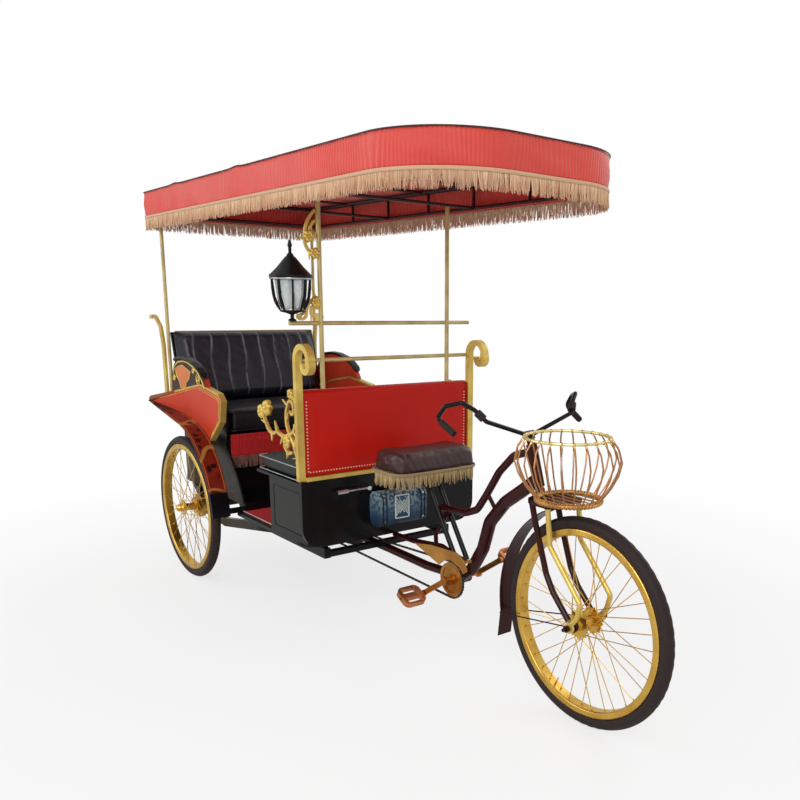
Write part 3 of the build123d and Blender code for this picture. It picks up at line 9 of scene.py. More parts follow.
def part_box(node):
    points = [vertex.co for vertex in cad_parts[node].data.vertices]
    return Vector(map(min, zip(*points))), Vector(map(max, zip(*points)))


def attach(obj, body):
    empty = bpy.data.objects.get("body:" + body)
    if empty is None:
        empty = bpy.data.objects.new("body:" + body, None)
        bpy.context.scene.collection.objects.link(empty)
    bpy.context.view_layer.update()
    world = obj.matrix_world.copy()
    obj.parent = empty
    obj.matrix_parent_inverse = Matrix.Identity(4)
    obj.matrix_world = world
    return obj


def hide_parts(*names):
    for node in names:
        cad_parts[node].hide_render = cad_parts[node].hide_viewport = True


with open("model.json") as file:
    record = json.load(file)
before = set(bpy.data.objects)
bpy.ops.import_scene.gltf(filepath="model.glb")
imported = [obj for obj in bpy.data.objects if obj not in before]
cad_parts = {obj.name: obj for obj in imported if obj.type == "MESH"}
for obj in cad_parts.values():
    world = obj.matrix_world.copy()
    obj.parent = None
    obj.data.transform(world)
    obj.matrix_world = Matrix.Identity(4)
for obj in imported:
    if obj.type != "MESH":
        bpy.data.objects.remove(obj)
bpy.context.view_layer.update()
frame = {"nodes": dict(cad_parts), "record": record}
scene = bpy.context.scene
nodes = frame["nodes"]

# Camera: stands ahead of the front wheel on the rider's right at the height of a person's chest.
# Its place and turn were solved from the wheels, the rails and the posts of the photograph, and its
# distance is measured from the rear axle, as are the stations of all the pieces below.
axle_low, axle_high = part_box("rear_axle")
REAR_X = (axle_low[0] + axle_high[0]) / 2
CAMERA_PLACE = (REAR_X + 3.9565, -1.870, 1.3743)
CAMERA_YAW, CAMERA_DIP, CAMERA_ROLL = 49.618, 12.732, 0.889
CAMERA_LENS = 36.44
CAMERA_SHIFT = (-0.1064, 0.1070)
lens = bpy.data.cameras.new("camera")
lens.lens, lens.shift_x, lens.shift_y = CAMERA_LENS, *CAMERA_SHIFT
camera = bpy.data.objects.new("camera", lens)
scene.collection.objects.link(camera)
camera.matrix_world = (
    Matrix.Translation(CAMERA_PLACE)
    @ Matrix.Rotation(math.radians(CAMERA_YAW), 4, "Z")
    @ Matrix.Rotation(math.radians(90 - CAMERA_DIP), 4, "X")
    @ Matrix.Rotation(math.radians(CAMERA_ROLL), 4, "Z")
)
scene.camera = camera
scene.view_settings.view_transform = "Standard"

# Studio: a white floor that keeps the vehicle's soft shadow and fades to plain white farther out, a
# white room and three soft lamps.
FLOOR_HALF, FLOOR_TONE, FLOOR_ROUGHNESS = 40.0, 0.86, 0.9
FADE_FROM, FADE_TO, FADE_START = 1.6, 3.4, 0.72
ROOM_LIGHT, MIRRORED_ROOM = 0.62, 0.35
WHITE = (1, 1, 1, 1)
# Columns: place, power in watts, size, the point that it faces
LAMPS = [
    ((3.6, -3.6, 3.6), 95.0, 2.6, (0.2, 0.0, 0.9)),
    ((-2.6, -4.2, 2.6), 45.0, 2.4, (-0.4, 0.0, 0.9)),
    ((0.4, 4.4, 3.2), 40.0, 2.6, (0.0, 0.0, 0.9)),
]


class Shade:
    """One output of a material's nodes. Arithmetic on it adds Math nodes."""

    def __init__(self, tree, socket=None):
        self.tree, self.socket = tree, socket

    def node(self, kind, settings, sockets, out=0):
        made = self.tree.nodes.new("ShaderNode" + kind)
        stops = settings.pop("stops", None)
        for key, value in settings.items():
            setattr(made, key, value)
        if stops:
            ends = made.color_ramp.elements
            ends[0].position, ends[0].color = stops[0]
            ends[-1].position, ends[-1].color = stops[-1]
            for place, tint in stops[1:-1]:
                ends.new(place).color = tint
        for key, value in sockets.items():
            if isinstance(value, Shade):
                self.tree.links.new(value.socket, made.inputs[key])
            else:
                made.inputs[key].default_value = value
        return Shade(self.tree, made.outputs[out])

    def math(self, operation, first, second=0.0):
        return self.node("Math", {"operation": operation}, {0: first, 1: second})

    def mix(self, low, high):
        """Colour low where this is 0 and high where it is 1."""
        return self.node("Mix", {"data_type": "RGBA"}, {0: self, 6: low, 7: high}, out=2)

    def __abs__(self):
        return self.node("Math", {"operation": "ABSOLUTE"}, {0: self})

    def __add__(self, other):
        return self.math("ADD", self, other)

    def __sub__(self, other):
        return self.math("SUBTRACT", self, other)

    def __rsub__(self, other):
        return self.math("SUBTRACT", other, self)

    def __mul__(self, other):
        return self.math("MULTIPLY", self, other)

    __radd__ = __add__
    __rmul__ = __mul__


def rise(shade, start, end, low=0.0, high=1.0):
    """Runs from low to high while shade runs from start to end."""
    sockets = {"Value": shade, "From Min": start, "From Max": end, "To Min": low, "To Max": high}
    return shade.node("MapRange", {}, sockets)


floor_mesh = bmesh.new()
bmesh.ops.create_grid(floor_mesh, x_segments=1, y_segments=1, size=FLOOR_HALF)
floor = bpy.data.objects.new("floor", bpy.data.meshes.new("floor"))
floor_mesh.to_mesh(floor.data)
scene.collection.objects.link(floor)
paper = bpy.data.materials.new("floor_paper")
paper.use_nodes = True
paper_tree = paper.node_tree
matt = paper_tree.nodes["Principled BSDF"]
matt.inputs["Base Color"].default_value = (FLOOR_TONE, FLOOR_TONE, FLOOR_TONE, 1)
matt.inputs["Roughness"].default_value = FLOOR_ROUGHNESS
ray = Shade(paper_tree).node("LightPath", {}, {}, out="Is Camera Ray")
ground = Shade(paper_tree).node("TexCoord", {}, {}, out="Object")
far = ground.node("VectorMath", {"operation": "LENGTH"}, {0: ground}, out="Value")
fade = rise(far, FADE_FROM, FADE_TO, FADE_START, 1.0)
glow = ray.node("Emission", {}, {"Color": WHITE, "Strength": 1.0})
mixed = ray.node("MixShader", {}, {0: ray * fade, 1: Shade(paper_tree, matt.outputs[0]), 2: glow})
paper_tree.links.new(mixed.socket, paper_tree.nodes["Material Output"].inputs["Surface"])
floor.data.materials.append(paper)

world = bpy.data.worlds.new("studio")
scene.world = world
world.use_nodes = True
world_tree = world.node_tree
room = world_tree.nodes["Background"]
seen = Shade(world_tree).node("LightPath", {}, {}, out="Is Camera Ray")
shine = seen.node("LightPath", {}, {}, out="Is Glossy Ray")
through = seen.node("LightPath", {}, {}, out="Is Transmission Ray")
white = seen.math("MINIMUM", seen + through + shine * MIRRORED_ROOM, 1.0)
room.inputs["Color"].default_value = WHITE
world_tree.links.new((white * (1 - ROOM_LIGHT) + ROOM_LIGHT).socket, room.inputs["Strength"])

for place, power, size, aim in LAMPS:
    lamp = bpy.data.lights.new("soft_lamp", "AREA")
    lamp.energy, lamp.size = power, size
    lamp_object = bpy.data.objects.new("soft_lamp", lamp)
    scene.collection.objects.link(lamp_object)
    lamp_object.location = place
    lamp_object.rotation_euler = (Vector(aim) - Vector(place)).to_track_quat("-Z", "Y").to_euler()

# Finishes that the metal and wooden pieces share: stove enamel, gold paint, lacquered brass, chrome.
# Each has the slight unevenness of brushwork, with dirt in it and a little wear.
METAL = {"Metallic": 1.0}
LACQUER = {"Specular IOR Level": 0.17, "Coat Weight": 0.07, "Coat Roughness": 0.10}
SATIN_PAINT = {"Specular IOR Level": 0.3}


def dye(red, green, blue):
    """A colour given as it looks on a screen, 0 to 255."""
    return (*Color((red / 255, green / 255, blue / 255)).from_srgb_to_scene_linear(), 1.0)


def finish(name, plain, work=None):
    """A finish of this vehicle: plain settings, and work(place) gives what varies over the surface."""
    coat = bpy.data.materials.new(name)
    coat.use_nodes = True
    skin = coat.node_tree.nodes["Principled BSDF"]
    for key, value in plain.items():
        skin.inputs[key].default_value = value
    if work:
        place = Shade(coat.node_tree).node("TexCoord", {}, {}, out="Object")
        for key, shade in work(place).items():
            coat.node_tree.links.new(shade.socket, skin.inputs[key])
    return coat


def clouds(place, scale, detail, **more):
    """A soft uneven pattern from 0 to 1, finer with a larger scale."""
    return place.node("TexNoise", {}, {"Vector": place, "Scale": scale, "Detail": detail, **more})


def bumps(height, strength, distance):
    return height.node("Bump", {}, {"Strength": strength, "Distance": distance, "Height": height})


def mask(shade, *stops):
    """Black and white steps. Each stop is a value of shade and the tone there, 0 or 1."""
    grey_stops = [(value, (tone, tone, tone, 1)) for value, tone in stops]
    return shade.node("ValToRGB", {"stops": grey_stops}, {0: shade})


def enamel(tint, shade_tint, gloss):
    def work(place):
        cloud = clouds(place, 9.0, 5.0, Roughness=0.6)
        orange_peel = clouds(place, 420.0, 2.0)
        return {
            "Base Color": cloud.mix(shade_tint, tint),
            "Roughness": cloud * 0.16 + (gloss - 0.08),
            "Normal": bumps(orange_peel, 0.05, 0.002),
        }

    return work


def gold_leaf(tint, shade_tint, gloss):
    def work(place):
        cloud = clouds(place, 13.0, 5.0, Roughness=0.5)
        speck = clouds(place, 300.0, 3.0)
        return {
            "Base Color": mask(cloud, (0.2, 0), (0.72, 1)).mix(shade_tint, tint),
            "Roughness": cloud * 0.25 + (gloss - 0.12),
            "Normal": bumps(speck + cloud * 2.0, 0.12, 0.001),
        }

    return work


# Columns: slot of the record, plain settings, maker of the coat, its two tints, gloss
SHARED = [
    ("black_paint", LACQUER, enamel, (17, 16, 18), (8, 8, 9), 0.24),
    ("black_gloss", LACQUER, enamel, (22, 18, 19), (11, 9, 10), 0.22),
    ("maroon_paint", LACQUER, enamel, (64, 14, 14), (34, 8, 8), 0.24),
    ("gold_paint", {"Metallic": 0.55}, gold_leaf, (236, 208, 112), (196, 158, 70), 0.40),
    ("brass_rim", METAL, gold_leaf, (232, 192, 96), (196, 150, 62), 0.29),
    ("brass_plate", METAL, gold_leaf, (206, 152, 76), (150, 98, 42), 0.33),
    ("brass_wire", METAL, gold_leaf, (238, 198, 122), (204, 154, 92), 0.32),
    ("copper_plate", METAL, gold_leaf, (214, 142, 96), (150, 86, 54), 0.38),
    ("chain_steel", METAL, gold_leaf, (96, 88, 80), (48, 42, 38), 0.42),
    ("bright_steel", METAL, gold_leaf, (226, 226, 228), (196, 196, 200), 0.2),
    ("dark_steel", LACQUER, enamel, (64, 34, 36), (36, 20, 22), 0.4),
    ("lantern_black", LACQUER, enamel, (22, 22, 24), (10, 10, 12), 0.3),
    ("dark_plastic", {}, enamel, (40, 40, 44), (30, 30, 34), 0.5),
    ("rubber", {"Specular IOR Level": 0.3}, enamel, (50, 36, 33), (32, 23, 22), 0.62),
]
finishes = {
    slot: finish(slot, plain, coat(dye(*tint), dye(*shade_tint), gloss))
    for slot, plain, coat, tint, shade_tint, gloss in SHARED
}


def paint(node, coat):
    nodes[node].data.materials.clear()
    nodes[node].data.materials.append(coat)


for entry in frame["record"]["subparts"]:
    if entry["material_slot"] in finishes:
        paint(entry["node"], finishes[entry["material_slot"]])
post_gold = finish("post_gold", {"Metallic": 0.5}, gold_leaf(dye(218, 198, 132), dye(160, 140, 92), 0.42))
for post in ("rear_posts", "front_posts"):
    paint(post, post_gold)


# Wheels: 28 inch cycle tyres of black rubber with ribs and cross cuts in the crown, on brass rims.
# A brass nipple ends each laced spoke at the rim, and a valve stands between two of the spokes.
def mesh_piece(name, shape, body, coat, slot, smooth=True, stands_for=()):
    """Makes an object of a bmesh, gives it its finish, and lets it ride on a body of the vehicle."""
    thing = bpy.data.objects.new(name, bpy.data.meshes.new(name))
    shape.to_mesh(thing.data)
    shape.free()
    scene.collection.objects.link(thing)
    thing.data.materials.append(coat)
    for face in thing.data.polygons:
        face.use_smooth = smooth
    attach(thing, body)
    if stands_for:
        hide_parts(*stands_for)
    return thing


def repeat_piece(name, pattern, places, body, coat, slot, smooth=True, stands_for=()):
    """One object of many copies of a small shape, each set by its own matrix."""
    pattern.verts.index_update()
    points = np.array([(*v.co, 1.0) for v in pattern.verts])
    corners = [[v.index for v in face.verts] for face in pattern.faces]
    pattern.free()
    moved = np.concatenate([points @ np.array(place).T for place in places])
    faces = [[k * len(points) + i for i in face] for k in range(len(places)) for face in corners]
    drawn_mesh = bpy.data.meshes.new(name)
    drawn_mesh.from_pydata(moved[:, :3].tolist(), [], faces)
    drawn = bmesh.new()
    drawn.from_mesh(drawn_mesh)
    bpy.data.meshes.remove(drawn_mesh)
    return mesh_piece(name, drawn, body, coat, slot, smooth, stands_for)


def pose_to(place, along, size=(1, 1, 1), up=(0, 0, 1)):
    """A matrix that carries +Z to the direction along and the origin to place."""
    z = Vector(along).normalized()
    x = Vector(up).cross(z)
    x = x.normalized() if x.length > 0.001 else Vector((1, 0, 0))
    turn = Matrix((x, z.cross(x), z)).transposed().to_4x4()
    return Matrix.Translation(place) @ turn @ Matrix.Diagonal((*size, 1))


def peg(sides, foot, top, length):
    """A closed round peg along Z, with its own radius at each end."""
    shape = bmesh.new()
    bmesh.ops.create_cone(shape, cap_ends=True, segments=sides, radius1=foot, radius2=top, depth=length)
    return shape


WHEELS = [
    ("front_wheel", "front_tyre"),
    ("rear_right_wheel", "rear_right_tyre"),
    ("rear_left_wheel", "rear_left_tyre"),
]
TYRE_CENTRE, TYRE_SECTION, RIM_WALL = 0.3325, 0.0225, 0.292
RIB_FROM, RIB_DEPTH = 0.55 * TYRE_SECTION, 0.0013
CUT_FROM, CUT_DEPTH, MIDDLE_RIB = 0.3475, 0.0014, 0.007
SPOKES, FLANGE_Y, NIPPLE_SINK = 36, 0.004, 0.0035
VALVE_TURN, VALVE_SINK = math.radians(245.0), 0.014
brass = finishes["brass_rim"]


def on_rim(hub, turn, side, sink):
    """A place on the rim's inner wall that faces the hub."""
    inward = Vector((-math.cos(turn), 0, -math.sin(turn)))
    return pose_to(hub + Vector((0, side, 0)) - inward * (RIM_WALL - sink), inward, up=(0, 1, 0))


for wheel, tyre in WHEELS:
    low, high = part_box(tyre)
    hub = (Vector(low) + Vector(high)) / 2
    ring = bmesh.new()
    to_crown = Matrix.Translation((TYRE_CENTRE, 0, 0))
    bmesh.ops.create_circle(ring, segments=36, radius=TYRE_SECTION, matrix=to_crown)
    by_crown = sorted(ring.verts, key=lambda v: abs(v.co.y) if v.co.x > TYRE_CENTRE else 1.0)
    for k, vert in enumerate(by_crown):
        if vert.co.x > TYRE_CENTRE + RIB_FROM and (k // 2) % 2:
            vert.co.x -= RIB_DEPTH
    section = ring.verts[:] + ring.edges[:]
    bmesh.ops.spin(ring, geom=section, axis=(0, 1, 0), angle=2 * math.pi, steps=180, use_merge=True)
    bmesh.ops.remove_doubles(ring, verts=ring.verts, dist=0.00005)
    for vert in ring.verts:
        reach = math.hypot(vert.co.x, vert.co.z)
        step = round(math.degrees(math.atan2(vert.co.z, vert.co.x)) / 2 + (1 if vert.co.y > 0 else 0))
        if reach > CUT_FROM and abs(vert.co.y) > MIDDLE_RIB and step % 3 == 0:
            vert.co.x *= 1 - CUT_DEPTH / reach
            vert.co.z *= 1 - CUT_DEPTH / reach
    bmesh.ops.translate(ring, verts=ring.verts, vec=hub)
    bmesh.ops.recalc_face_normals(ring, faces=ring.faces)
    mesh_piece(wheel + "_tyre_tread", ring, wheel, finishes["rubber"], "tyre", stands_for=[tyre])

    nipples = [
        on_rim(hub, math.radians(k * 360.0 / SPOKES), FLANGE_Y if k % 2 else -FLANGE_Y, NIPPLE_SINK)
        for k in range(SPOKES)
    ]
    repeat_piece(wheel + "_nipples", peg(8, 0.0034, 0.0022, 0.009), nipples, wheel, brass, "brass_rim")
    valve_place = on_rim(hub, VALVE_TURN, 0, VALVE_SINK)
    repeat_piece(wheel + "_valve", peg(12, 0.0032, 0.0026, 0.032), [valve_place], wheel, brass, "brass_rim")

# Rear mudguards: steel bands in red-brown enamel, painted by hand with dark flowers and gold strokes
# between two border lines, and black at the tail. They are bolted to the cabin's side walls in front.
GUARD_MIDDLE = 0.463


def axis(place, name):
    return place.node("SeparateXYZ", {}, {0: place}, out=name)


def painted_guard(place):
    bent = clouds(place, 14.0, 2.0, Distortion=0.8)
    petal = place.node("TexVoronoi", {}, {"Vector": place, "Scale": 19.0})
    wavy = {"Vector": place, "Scale": 2.7, "Distortion": 9.0, "Detail": 2.0}
    stroke = mask(place.node("TexWave", {"bands_direction": "Z"}, wavy), (0.95, 0), (0.99, 1))
    flower = mask(petal + bent * 0.3, (0.42, 1), (0.50, 0))
    off_middle = abs(abs(axis(place, "Y")) - GUARD_MIDDLE)
    field = rise(off_middle, 0.020, 0.030, 1.0, 0.0)
    border = mask(off_middle, (0.0335, 0), (0.0345, 1), (0.0375, 1), (0.0385, 0))
    ground = bent.mix(dye(82, 16, 10), dye(142, 42, 22))
    drawn = (stroke * 0.75).mix(ground, dye(182, 128, 62))
    drawn = (flower * field * 0.92).mix(drawn, dye(18, 8, 8))
    drawn = (border * 0.8).mix(drawn, dye(196, 112, 56))
    ahead = rise(axis(place, "X"), REAR_X - 0.150, REAR_X - 0.090)
    above = rise(axis(place, "Z"), 0.50, 0.52)
    shown = ahead * above + (1 - ahead) * flower * above * 0.6
    return {"Base Color": shown.mix(dye(18, 15, 18), drawn), "Roughness": bent * 0.12 + 0.2}


paint("rear_fenders", finish("painted_guard", LACQUER, painted_guard))

# Side panels: boards in orange-red enamel that spread outwards to the tail, screwed to the tub's ledges.
# A thin gold cord lies inside their gold border, round gold beads run along it, and a brown-orange roll
# closes each tail.
PANEL_FACE, FLARE_FROM, FLARE_TO, FLARE_FACE = 0.420, -0.060, -0.345, 0.503
CORD_LINE = [
    (-0.322, 0.860), (-0.040, 0.927), (0.158, 0.962), (0.357, 0.935), (0.383, 0.913),
    (0.360, 0.826), (0.268, 0.748),
]
CORD_RADIUS, BEAD_SIZE, BEAD_PITCH = 0.0016, (0.0034, 0.0034, 0.0026), 0.0115
ROLL_TIP, ROLL_END, ROLL_RADIUS = (-0.325, 0.484, 0.8660), (-0.130, 0.438, 0.9190), 0.0190
SIDES = ((-1, "right"), (1, "left"))
GILT = ("chassis", finishes["gold_paint"], "gold_paint")


def panel_y(x):
    """Outer face of the cabin's side at x metres ahead of the rear axle."""
    spread = min(max((FLARE_FROM - x) / (FLARE_FROM - FLARE_TO), 0), 1)
    return PANEL_FACE + (FLARE_FACE - PANEL_FACE) * spread


def tube(name, line, radius, body, coat, slot, closed=False, sides=3):
    """A round cord or wire along a line of points, as a mesh."""
    wire = bpy.data.curves.new(name, "CURVE")
    wire.dimensions, wire.bevel_depth, wire.bevel_resolution = "3D", radius, sides
    wire.use_fill_caps = not closed
    spline = wire.splines.new("POLY")
    spline.points.add(len(line) - 1)
    for point, place in zip(spline.points, line):
        point.co = (*place, 1.0)
    spline.use_cyclic_u = closed
    draft = bpy.data.objects.new(name, wire)
    drawn = bmesh.new()
    drawn.from_mesh(bpy.data.meshes.new_from_object(draft))
    bpy.data.objects.remove(draft)
    return mesh_piece(name, drawn, body, coat, slot)


def walk(points, pitch):
    """Even steps along a broken line."""
    found, left = [], 0.0
    for first, second in zip(points, points[1:]):
        first, second = Vector(first), Vector(second)
        length = (second - first).length
        while left < length:
            found.append(first.lerp(second, left / length))
            left += pitch
        left -= length
    return found


bead = bmesh.new()
bmesh.ops.create_icosphere(bead, subdivisions=1, radius=1.0)
bead_line = walk([(x - 0.004, z - 0.009) for x, z in CORD_LINE[2:]], BEAD_PITCH)
bead_places = [
    pose_to((REAR_X + p.x, side * (panel_y(p.x) + 0.0006), p.y), (0, side, 0), BEAD_SIZE)
    for side in (-1, 1) for p in bead_line
]
repeat_piece("panel_beads", bead, bead_places, *GILT)
for side, name in SIDES:
    line = [(REAR_X + p.x, side * (panel_y(p.x) + 0.0008), p.y) for p in walk(CORD_LINE, 0.012)]
    tube("panel_cord_" + name, line, CORD_RADIUS, *GILT)
paint("side_panels", finish("red_board", SATIN_PAINT, enamel(dye(214, 72, 38), dye(190, 46, 22), 0.42)))

roll = peg(20, 1.0, 0.30, 2.0)
to_tip = Matrix.Translation((0, 0, -1)) @ Matrix.Diagonal((1, 1, 0.1, 1))
bmesh.ops.create_uvsphere(roll, u_segments=20, v_segments=10, radius=1.0, matrix=to_tip)
roll_places = []
for side in (-1, 1):
    tip, end = (Vector((REAR_X + x, side * y, z)) for x, y, z in (ROLL_TIP, ROLL_END))
    roll_size = (ROLL_RADIUS, ROLL_RADIUS, (end - tip).length / 2)
    roll_places.append(pose_to((tip + end) / 2, end - tip, roll_size))
rolled_paint = finish("rolled_paint", LACQUER, enamel(dye(178, 96, 50), dye(104, 46, 24), 0.36))
repeat_piece("panel_tail_rolls", roll, roll_places, "chassis", rolled_paint, "red_paint")

# Arm boards: arched boards over the side panels, red inside and near black outside. A gold border, a
# raised orange vase with a gold edge and gold curls are fixed to their outer faces.
ARCH = [
    (0.236, 0.971), (0.215, 1.000), (0.165, 1.038), (0.100, 1.064), (0.030, 1.080),
    (-0.040, 1.084), (-0.110, 1.076), (-0.165, 1.052), (-0.195, 1.008),
]
VASE = [
    (-0.016, 0.944), (-0.010, 0.970), (0.034, 0.992), (0.052, 1.026), (0.010, 1.040), (-0.050, 1.054),
    (-0.106, 1.044), (-0.146, 1.030), (-0.132, 0.994), (-0.094, 0.970), (-0.088, 0.940),
]
# Columns: middle x and z, reach, way of winding
CURLS = [(0.148, 0.998, 0.025, 1), (0.092, 1.036, 0.015, -1), (-0.166, 0.984, 0.016, -1)]
VASE_THICK, BORDER_RADIUS, EDGE_RADIUS, CURL_RADIUS = 0.0015, 0.0045, 0.0024, 0.0030


def arm_paint(place):
    """Red inside the cabin, near black outside round the painted leaf."""
    cloud = clouds(place, 9.0, 4.0)
    outer = rise(abs(axis(place, "Y")), PANEL_FACE - 0.0025, PANEL_FACE - 0.0015)
    red = cloud.mix(dye(170, 42, 22), dye(206, 66, 36))
    return {"Base Color": outer.mix(red, dye(44, 20, 14)), "Roughness": cloud * 0.1 + 0.36}


paint("arm_boards", finish("arm_paint", SATIN_PAINT, arm_paint))
for side, name in SIDES:
    border = walk([(x * 0.93, z - 0.010) for x, z in ARCH], 0.012)
    line = [(REAR_X + p.x, side * (PANEL_FACE + 0.001), p.y) for p in border]
    tube("arm_border_" + name, line, BORDER_RADIUS, *GILT)
orange_leaf = finish("orange_leaf", SATIN_PAINT, enamel(dye(226, 136, 74), dye(196, 100, 52), 0.42))
for side, name in SIDES:
    plate = bmesh.new()
    rim = [plate.verts.new((REAR_X + x, side * PANEL_FACE, z)) for x, z in VASE]
    bmesh.ops.contextual_create(plate, geom=rim)
    raised = bmesh.ops.extrude_face_region(plate, geom=plate.faces[:])["geom"]
    raised_verts = [g for g in raised if isinstance(g, bmesh.types.BMVert)]
    bmesh.ops.translate(plate, verts=raised_verts, vec=(0, side * VASE_THICK, 0))
    bmesh.ops.recalc_face_normals(plate, faces=plate.faces)
    mesh_piece("arm_vase_" + name, plate, "chassis", orange_leaf, "red_paint", smooth=False)
    line = [(REAR_X + x, side * (PANEL_FACE + VASE_THICK), z) for x, z in VASE]
    tube("arm_vase_edge_" + name, line, EDGE_RADIUS, *GILT, closed=True)
    for k, (x, z, reach, way) in enumerate(CURLS):
        line = []
        for step in range(34):
            turn = math.radians(20 * step) * way
            wide = reach * (1 - step / 42)
            curl_x, curl_z = x - wide * math.sin(turn), z + wide * math.cos(turn)
            line.append((REAR_X + curl_x, side * (PANEL_FACE + 0.002), curl_z))
        tube("arm_curl_%s_%d" % (name, k), line, CURL_RADIUS, *GILT)

# Carpet: a rug of soft red pile with a pale bound edge sewn along both its sides. It is laid on the
# cabin floor between the side panels.
carpet_low, carpet_high = (Vector(c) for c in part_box("carpet"))
PILE_THICK, PILE_TOP, BOUND_EDGE = 0.0032, 0.0012, 0.006
BINDING_RADIUS = 0.0026


def pile(place):
    tuft = clouds(place, 620.0, 3.0)
    tread = clouds(place, 7.0, 4.0)
    return {
        "Base Color": (tuft * 0.5 + tread * 0.6).mix(dye(128, 12, 20), dye(196, 28, 36)),
        "Roughness": tuft * 0.08 + 0.88,
        "Normal": bumps(tuft, 0.6, 0.0018),
    }


red_pile = finish("red_pile", {"Sheen Weight": 0.05, "Specular IOR Level": 0.1}, pile)
rug = bmesh.new()
bmesh.ops.create_grid(rug, x_segments=70, y_segments=110, size=0.5)
rug_size = carpet_high - carpet_low
rug_centre = (carpet_high + carpet_low) / 2
for vert in rug.verts:
    x, y = vert.co.x * (rug_size.x - 0.002), vert.co.y * (rug_size.y - 0.004)
    wave = 0.0007 * math.sin(31 * x + 9 * y) + 0.0005 * math.sin(47 * y + 1.3)
    edge = min(rug_size.x / 2 - abs(x), rug_size.y / 2 - abs(y))
    drop = 0.0022 * max(0.0, 1 - edge / BOUND_EDGE) ** 2
    vert.co = (rug_centre.x + x, rug_centre.y + y, carpet_high.z - PILE_TOP + wave - drop)
bmesh.ops.solidify(rug, geom=rug.faces[:], thickness=PILE_THICK)
rug_piece = mesh_piece("carpet_rug", rug, "chassis", red_pile, "red_carpet", stands_for=["carpet"])
binding = finish("carpet_binding", {"Roughness": 0.6}, enamel(dye(216, 196, 184), dye(168, 140, 130), 0.6))
for side, name in SIDES:
    y = rug_centre.y + side * (rug_size.y / 2 - 0.0035)
    line = [
        (carpet_low.x + 0.004 + k * (rug_size.x - 0.008) / 24, y, carpet_high.z - 0.0015) for k in range(25)
    ]
    tube("carpet_binding_" + name, line, BINDING_RADIUS, "chassis", binding, "red_carpet")

# Rear seat: a thick loose cushion of black leather cloth over foam, with sewn seams round its top and
# bottom edges. It lies on the seat board and is held by the side walls.
SEAM_INSET, SEAM_CORNER, SEAM_RADIUS = Vector((0.009, 0.008, 0)), 0.030, 0.0032
FILL_STEPS, FILL_PRESSURE = 20, 4.0


def leather(tint, worn_tint, gloss, grain=260.0):
    def work(place):
        pore = place.node("TexVoronoi", {}, {"Vector": place, "Scale": grain})
        fold = clouds(place, 24.0, 5.0, Roughness=0.62)
        rub = clouds(place, 5.0, 4.0)
        return {
            "Base Color": (rub * 0.6 + fold * 0.35).mix(tint, worn_tint),
            "Roughness": fold * 0.28 + (gloss - 0.14),
            "Normal": bumps(pore * 0.25 + fold, 0.3, 0.0016),
        }

    return work


def pillow(size, centre, crown, pull, cuts=22):
    """A crowned cushion block: its top rises in the middle and its sides pull in between the corners."""
    block = bmesh.new()
    bmesh.ops.create_cube(block, size=1.0)
    bmesh.ops.subdivide_edges(block, edges=block.edges[:], cuts=cuts, use_grid_fill=True)
    for vert in block.verts:
        x, y, z = vert.co * 2
        swell = (1 - x * x) * (1 - y * y)
        round_x = 1 - 0.05 * abs(y) ** 6 - 0.03 * abs(z) ** 4
        round_y = 1 - 0.03 * abs(x) ** 6 - 0.02 * abs(z) ** 4
        vert.co.x = centre.x + x * 0.5 * size.x * round_x * (1 - pull * 0.8 * (1 - y * y))
        vert.co.y = centre.y + y * 0.5 * size.y * round_y
        vert.co.z = centre.z + z * 0.5 * size.z + (crown * swell if z > 0 else 0.0) - crown * 0.5 * (z > 0)
    bmesh.ops.recalc_face_normals(block, faces=block.faces)
    return block


def stuff(piece, voxel, limit):
    """Fills a cushion: cloth under pressure, its swelling limited, then one smoothing subdivision."""
    remesh = piece.modifiers.new("even_cloth", "REMESH")
    remesh.mode, remesh.voxel_size = "VOXEL", voxel
    scene.view_layers[0].update()
    graph = bpy.context.evaluated_depsgraph_get()
    piece.data = bpy.data.meshes.new_from_object(piece.evaluated_get(graph))
    piece.modifiers.clear()
    before = np.empty(len(piece.data.vertices) * 3)
    piece.data.vertices.foreach_get("co", before)
    cloth = piece.modifiers.new("filling", "CLOTH")
    cloth.settings.use_pressure = True
    cloth.settings.uniform_pressure_force = FILL_PRESSURE
    cloth.settings.effector_weights.gravity = 0.0
    for step in range(1, FILL_STEPS + 1):
        scene.frame_set(step)
    graph = bpy.context.evaluated_depsgraph_get()
    blown = bpy.data.meshes.new_from_object(piece.evaluated_get(graph))
    after = np.empty(len(blown.vertices) * 3)
    blown.vertices.foreach_get("co", after)
    moved = (after - before).reshape(-1, 3)
    length = np.maximum(np.linalg.norm(moved, axis=1, keepdims=True), 1e-9)
    moved *= np.minimum(1.0, limit / length)
    piece.modifiers.clear()
    piece.data = blown
    blown.vertices.foreach_set("co", (before.reshape(-1, 3) + moved).ravel())
    blown.update()
    for face in blown.polygons:
        face.use_smooth = True
    smoother = piece.modifiers.new("smooth", "SUBSURF")
    smoother.levels = smoother.render_levels = 1
    scene.frame_set(1)


def ring_line(low, high, corner, z):
    """A rounded rectangle at height z, as points."""
    corners = (
        (high.x - corner, low.y + corner, -90), (high.x - corner, high.y - corner, 0),
        (low.x + corner, high.y - corner, 90), (low.x + corner, low.y + corner, 180),
    )
    line = []
    for middle_x, middle_y, enter in corners:
        for k in range(11):
            turn = math.radians(enter + 9 * k)
            line.append((middle_x + corner * math.cos(turn), middle_y + corner * math.sin(turn), z))
    return line


def cushion_piece(name, node, cover, voxel, limit, shrink, crown, pull):
    low, high = (Vector(c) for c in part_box(node))
    size = high - low - Vector(shrink) * 2
    piece = mesh_piece(name, pillow(size, (low + high) / 2, crown, pull), *cover, stands_for=[node])
    stuff(piece, voxel, limit)
    return low, high


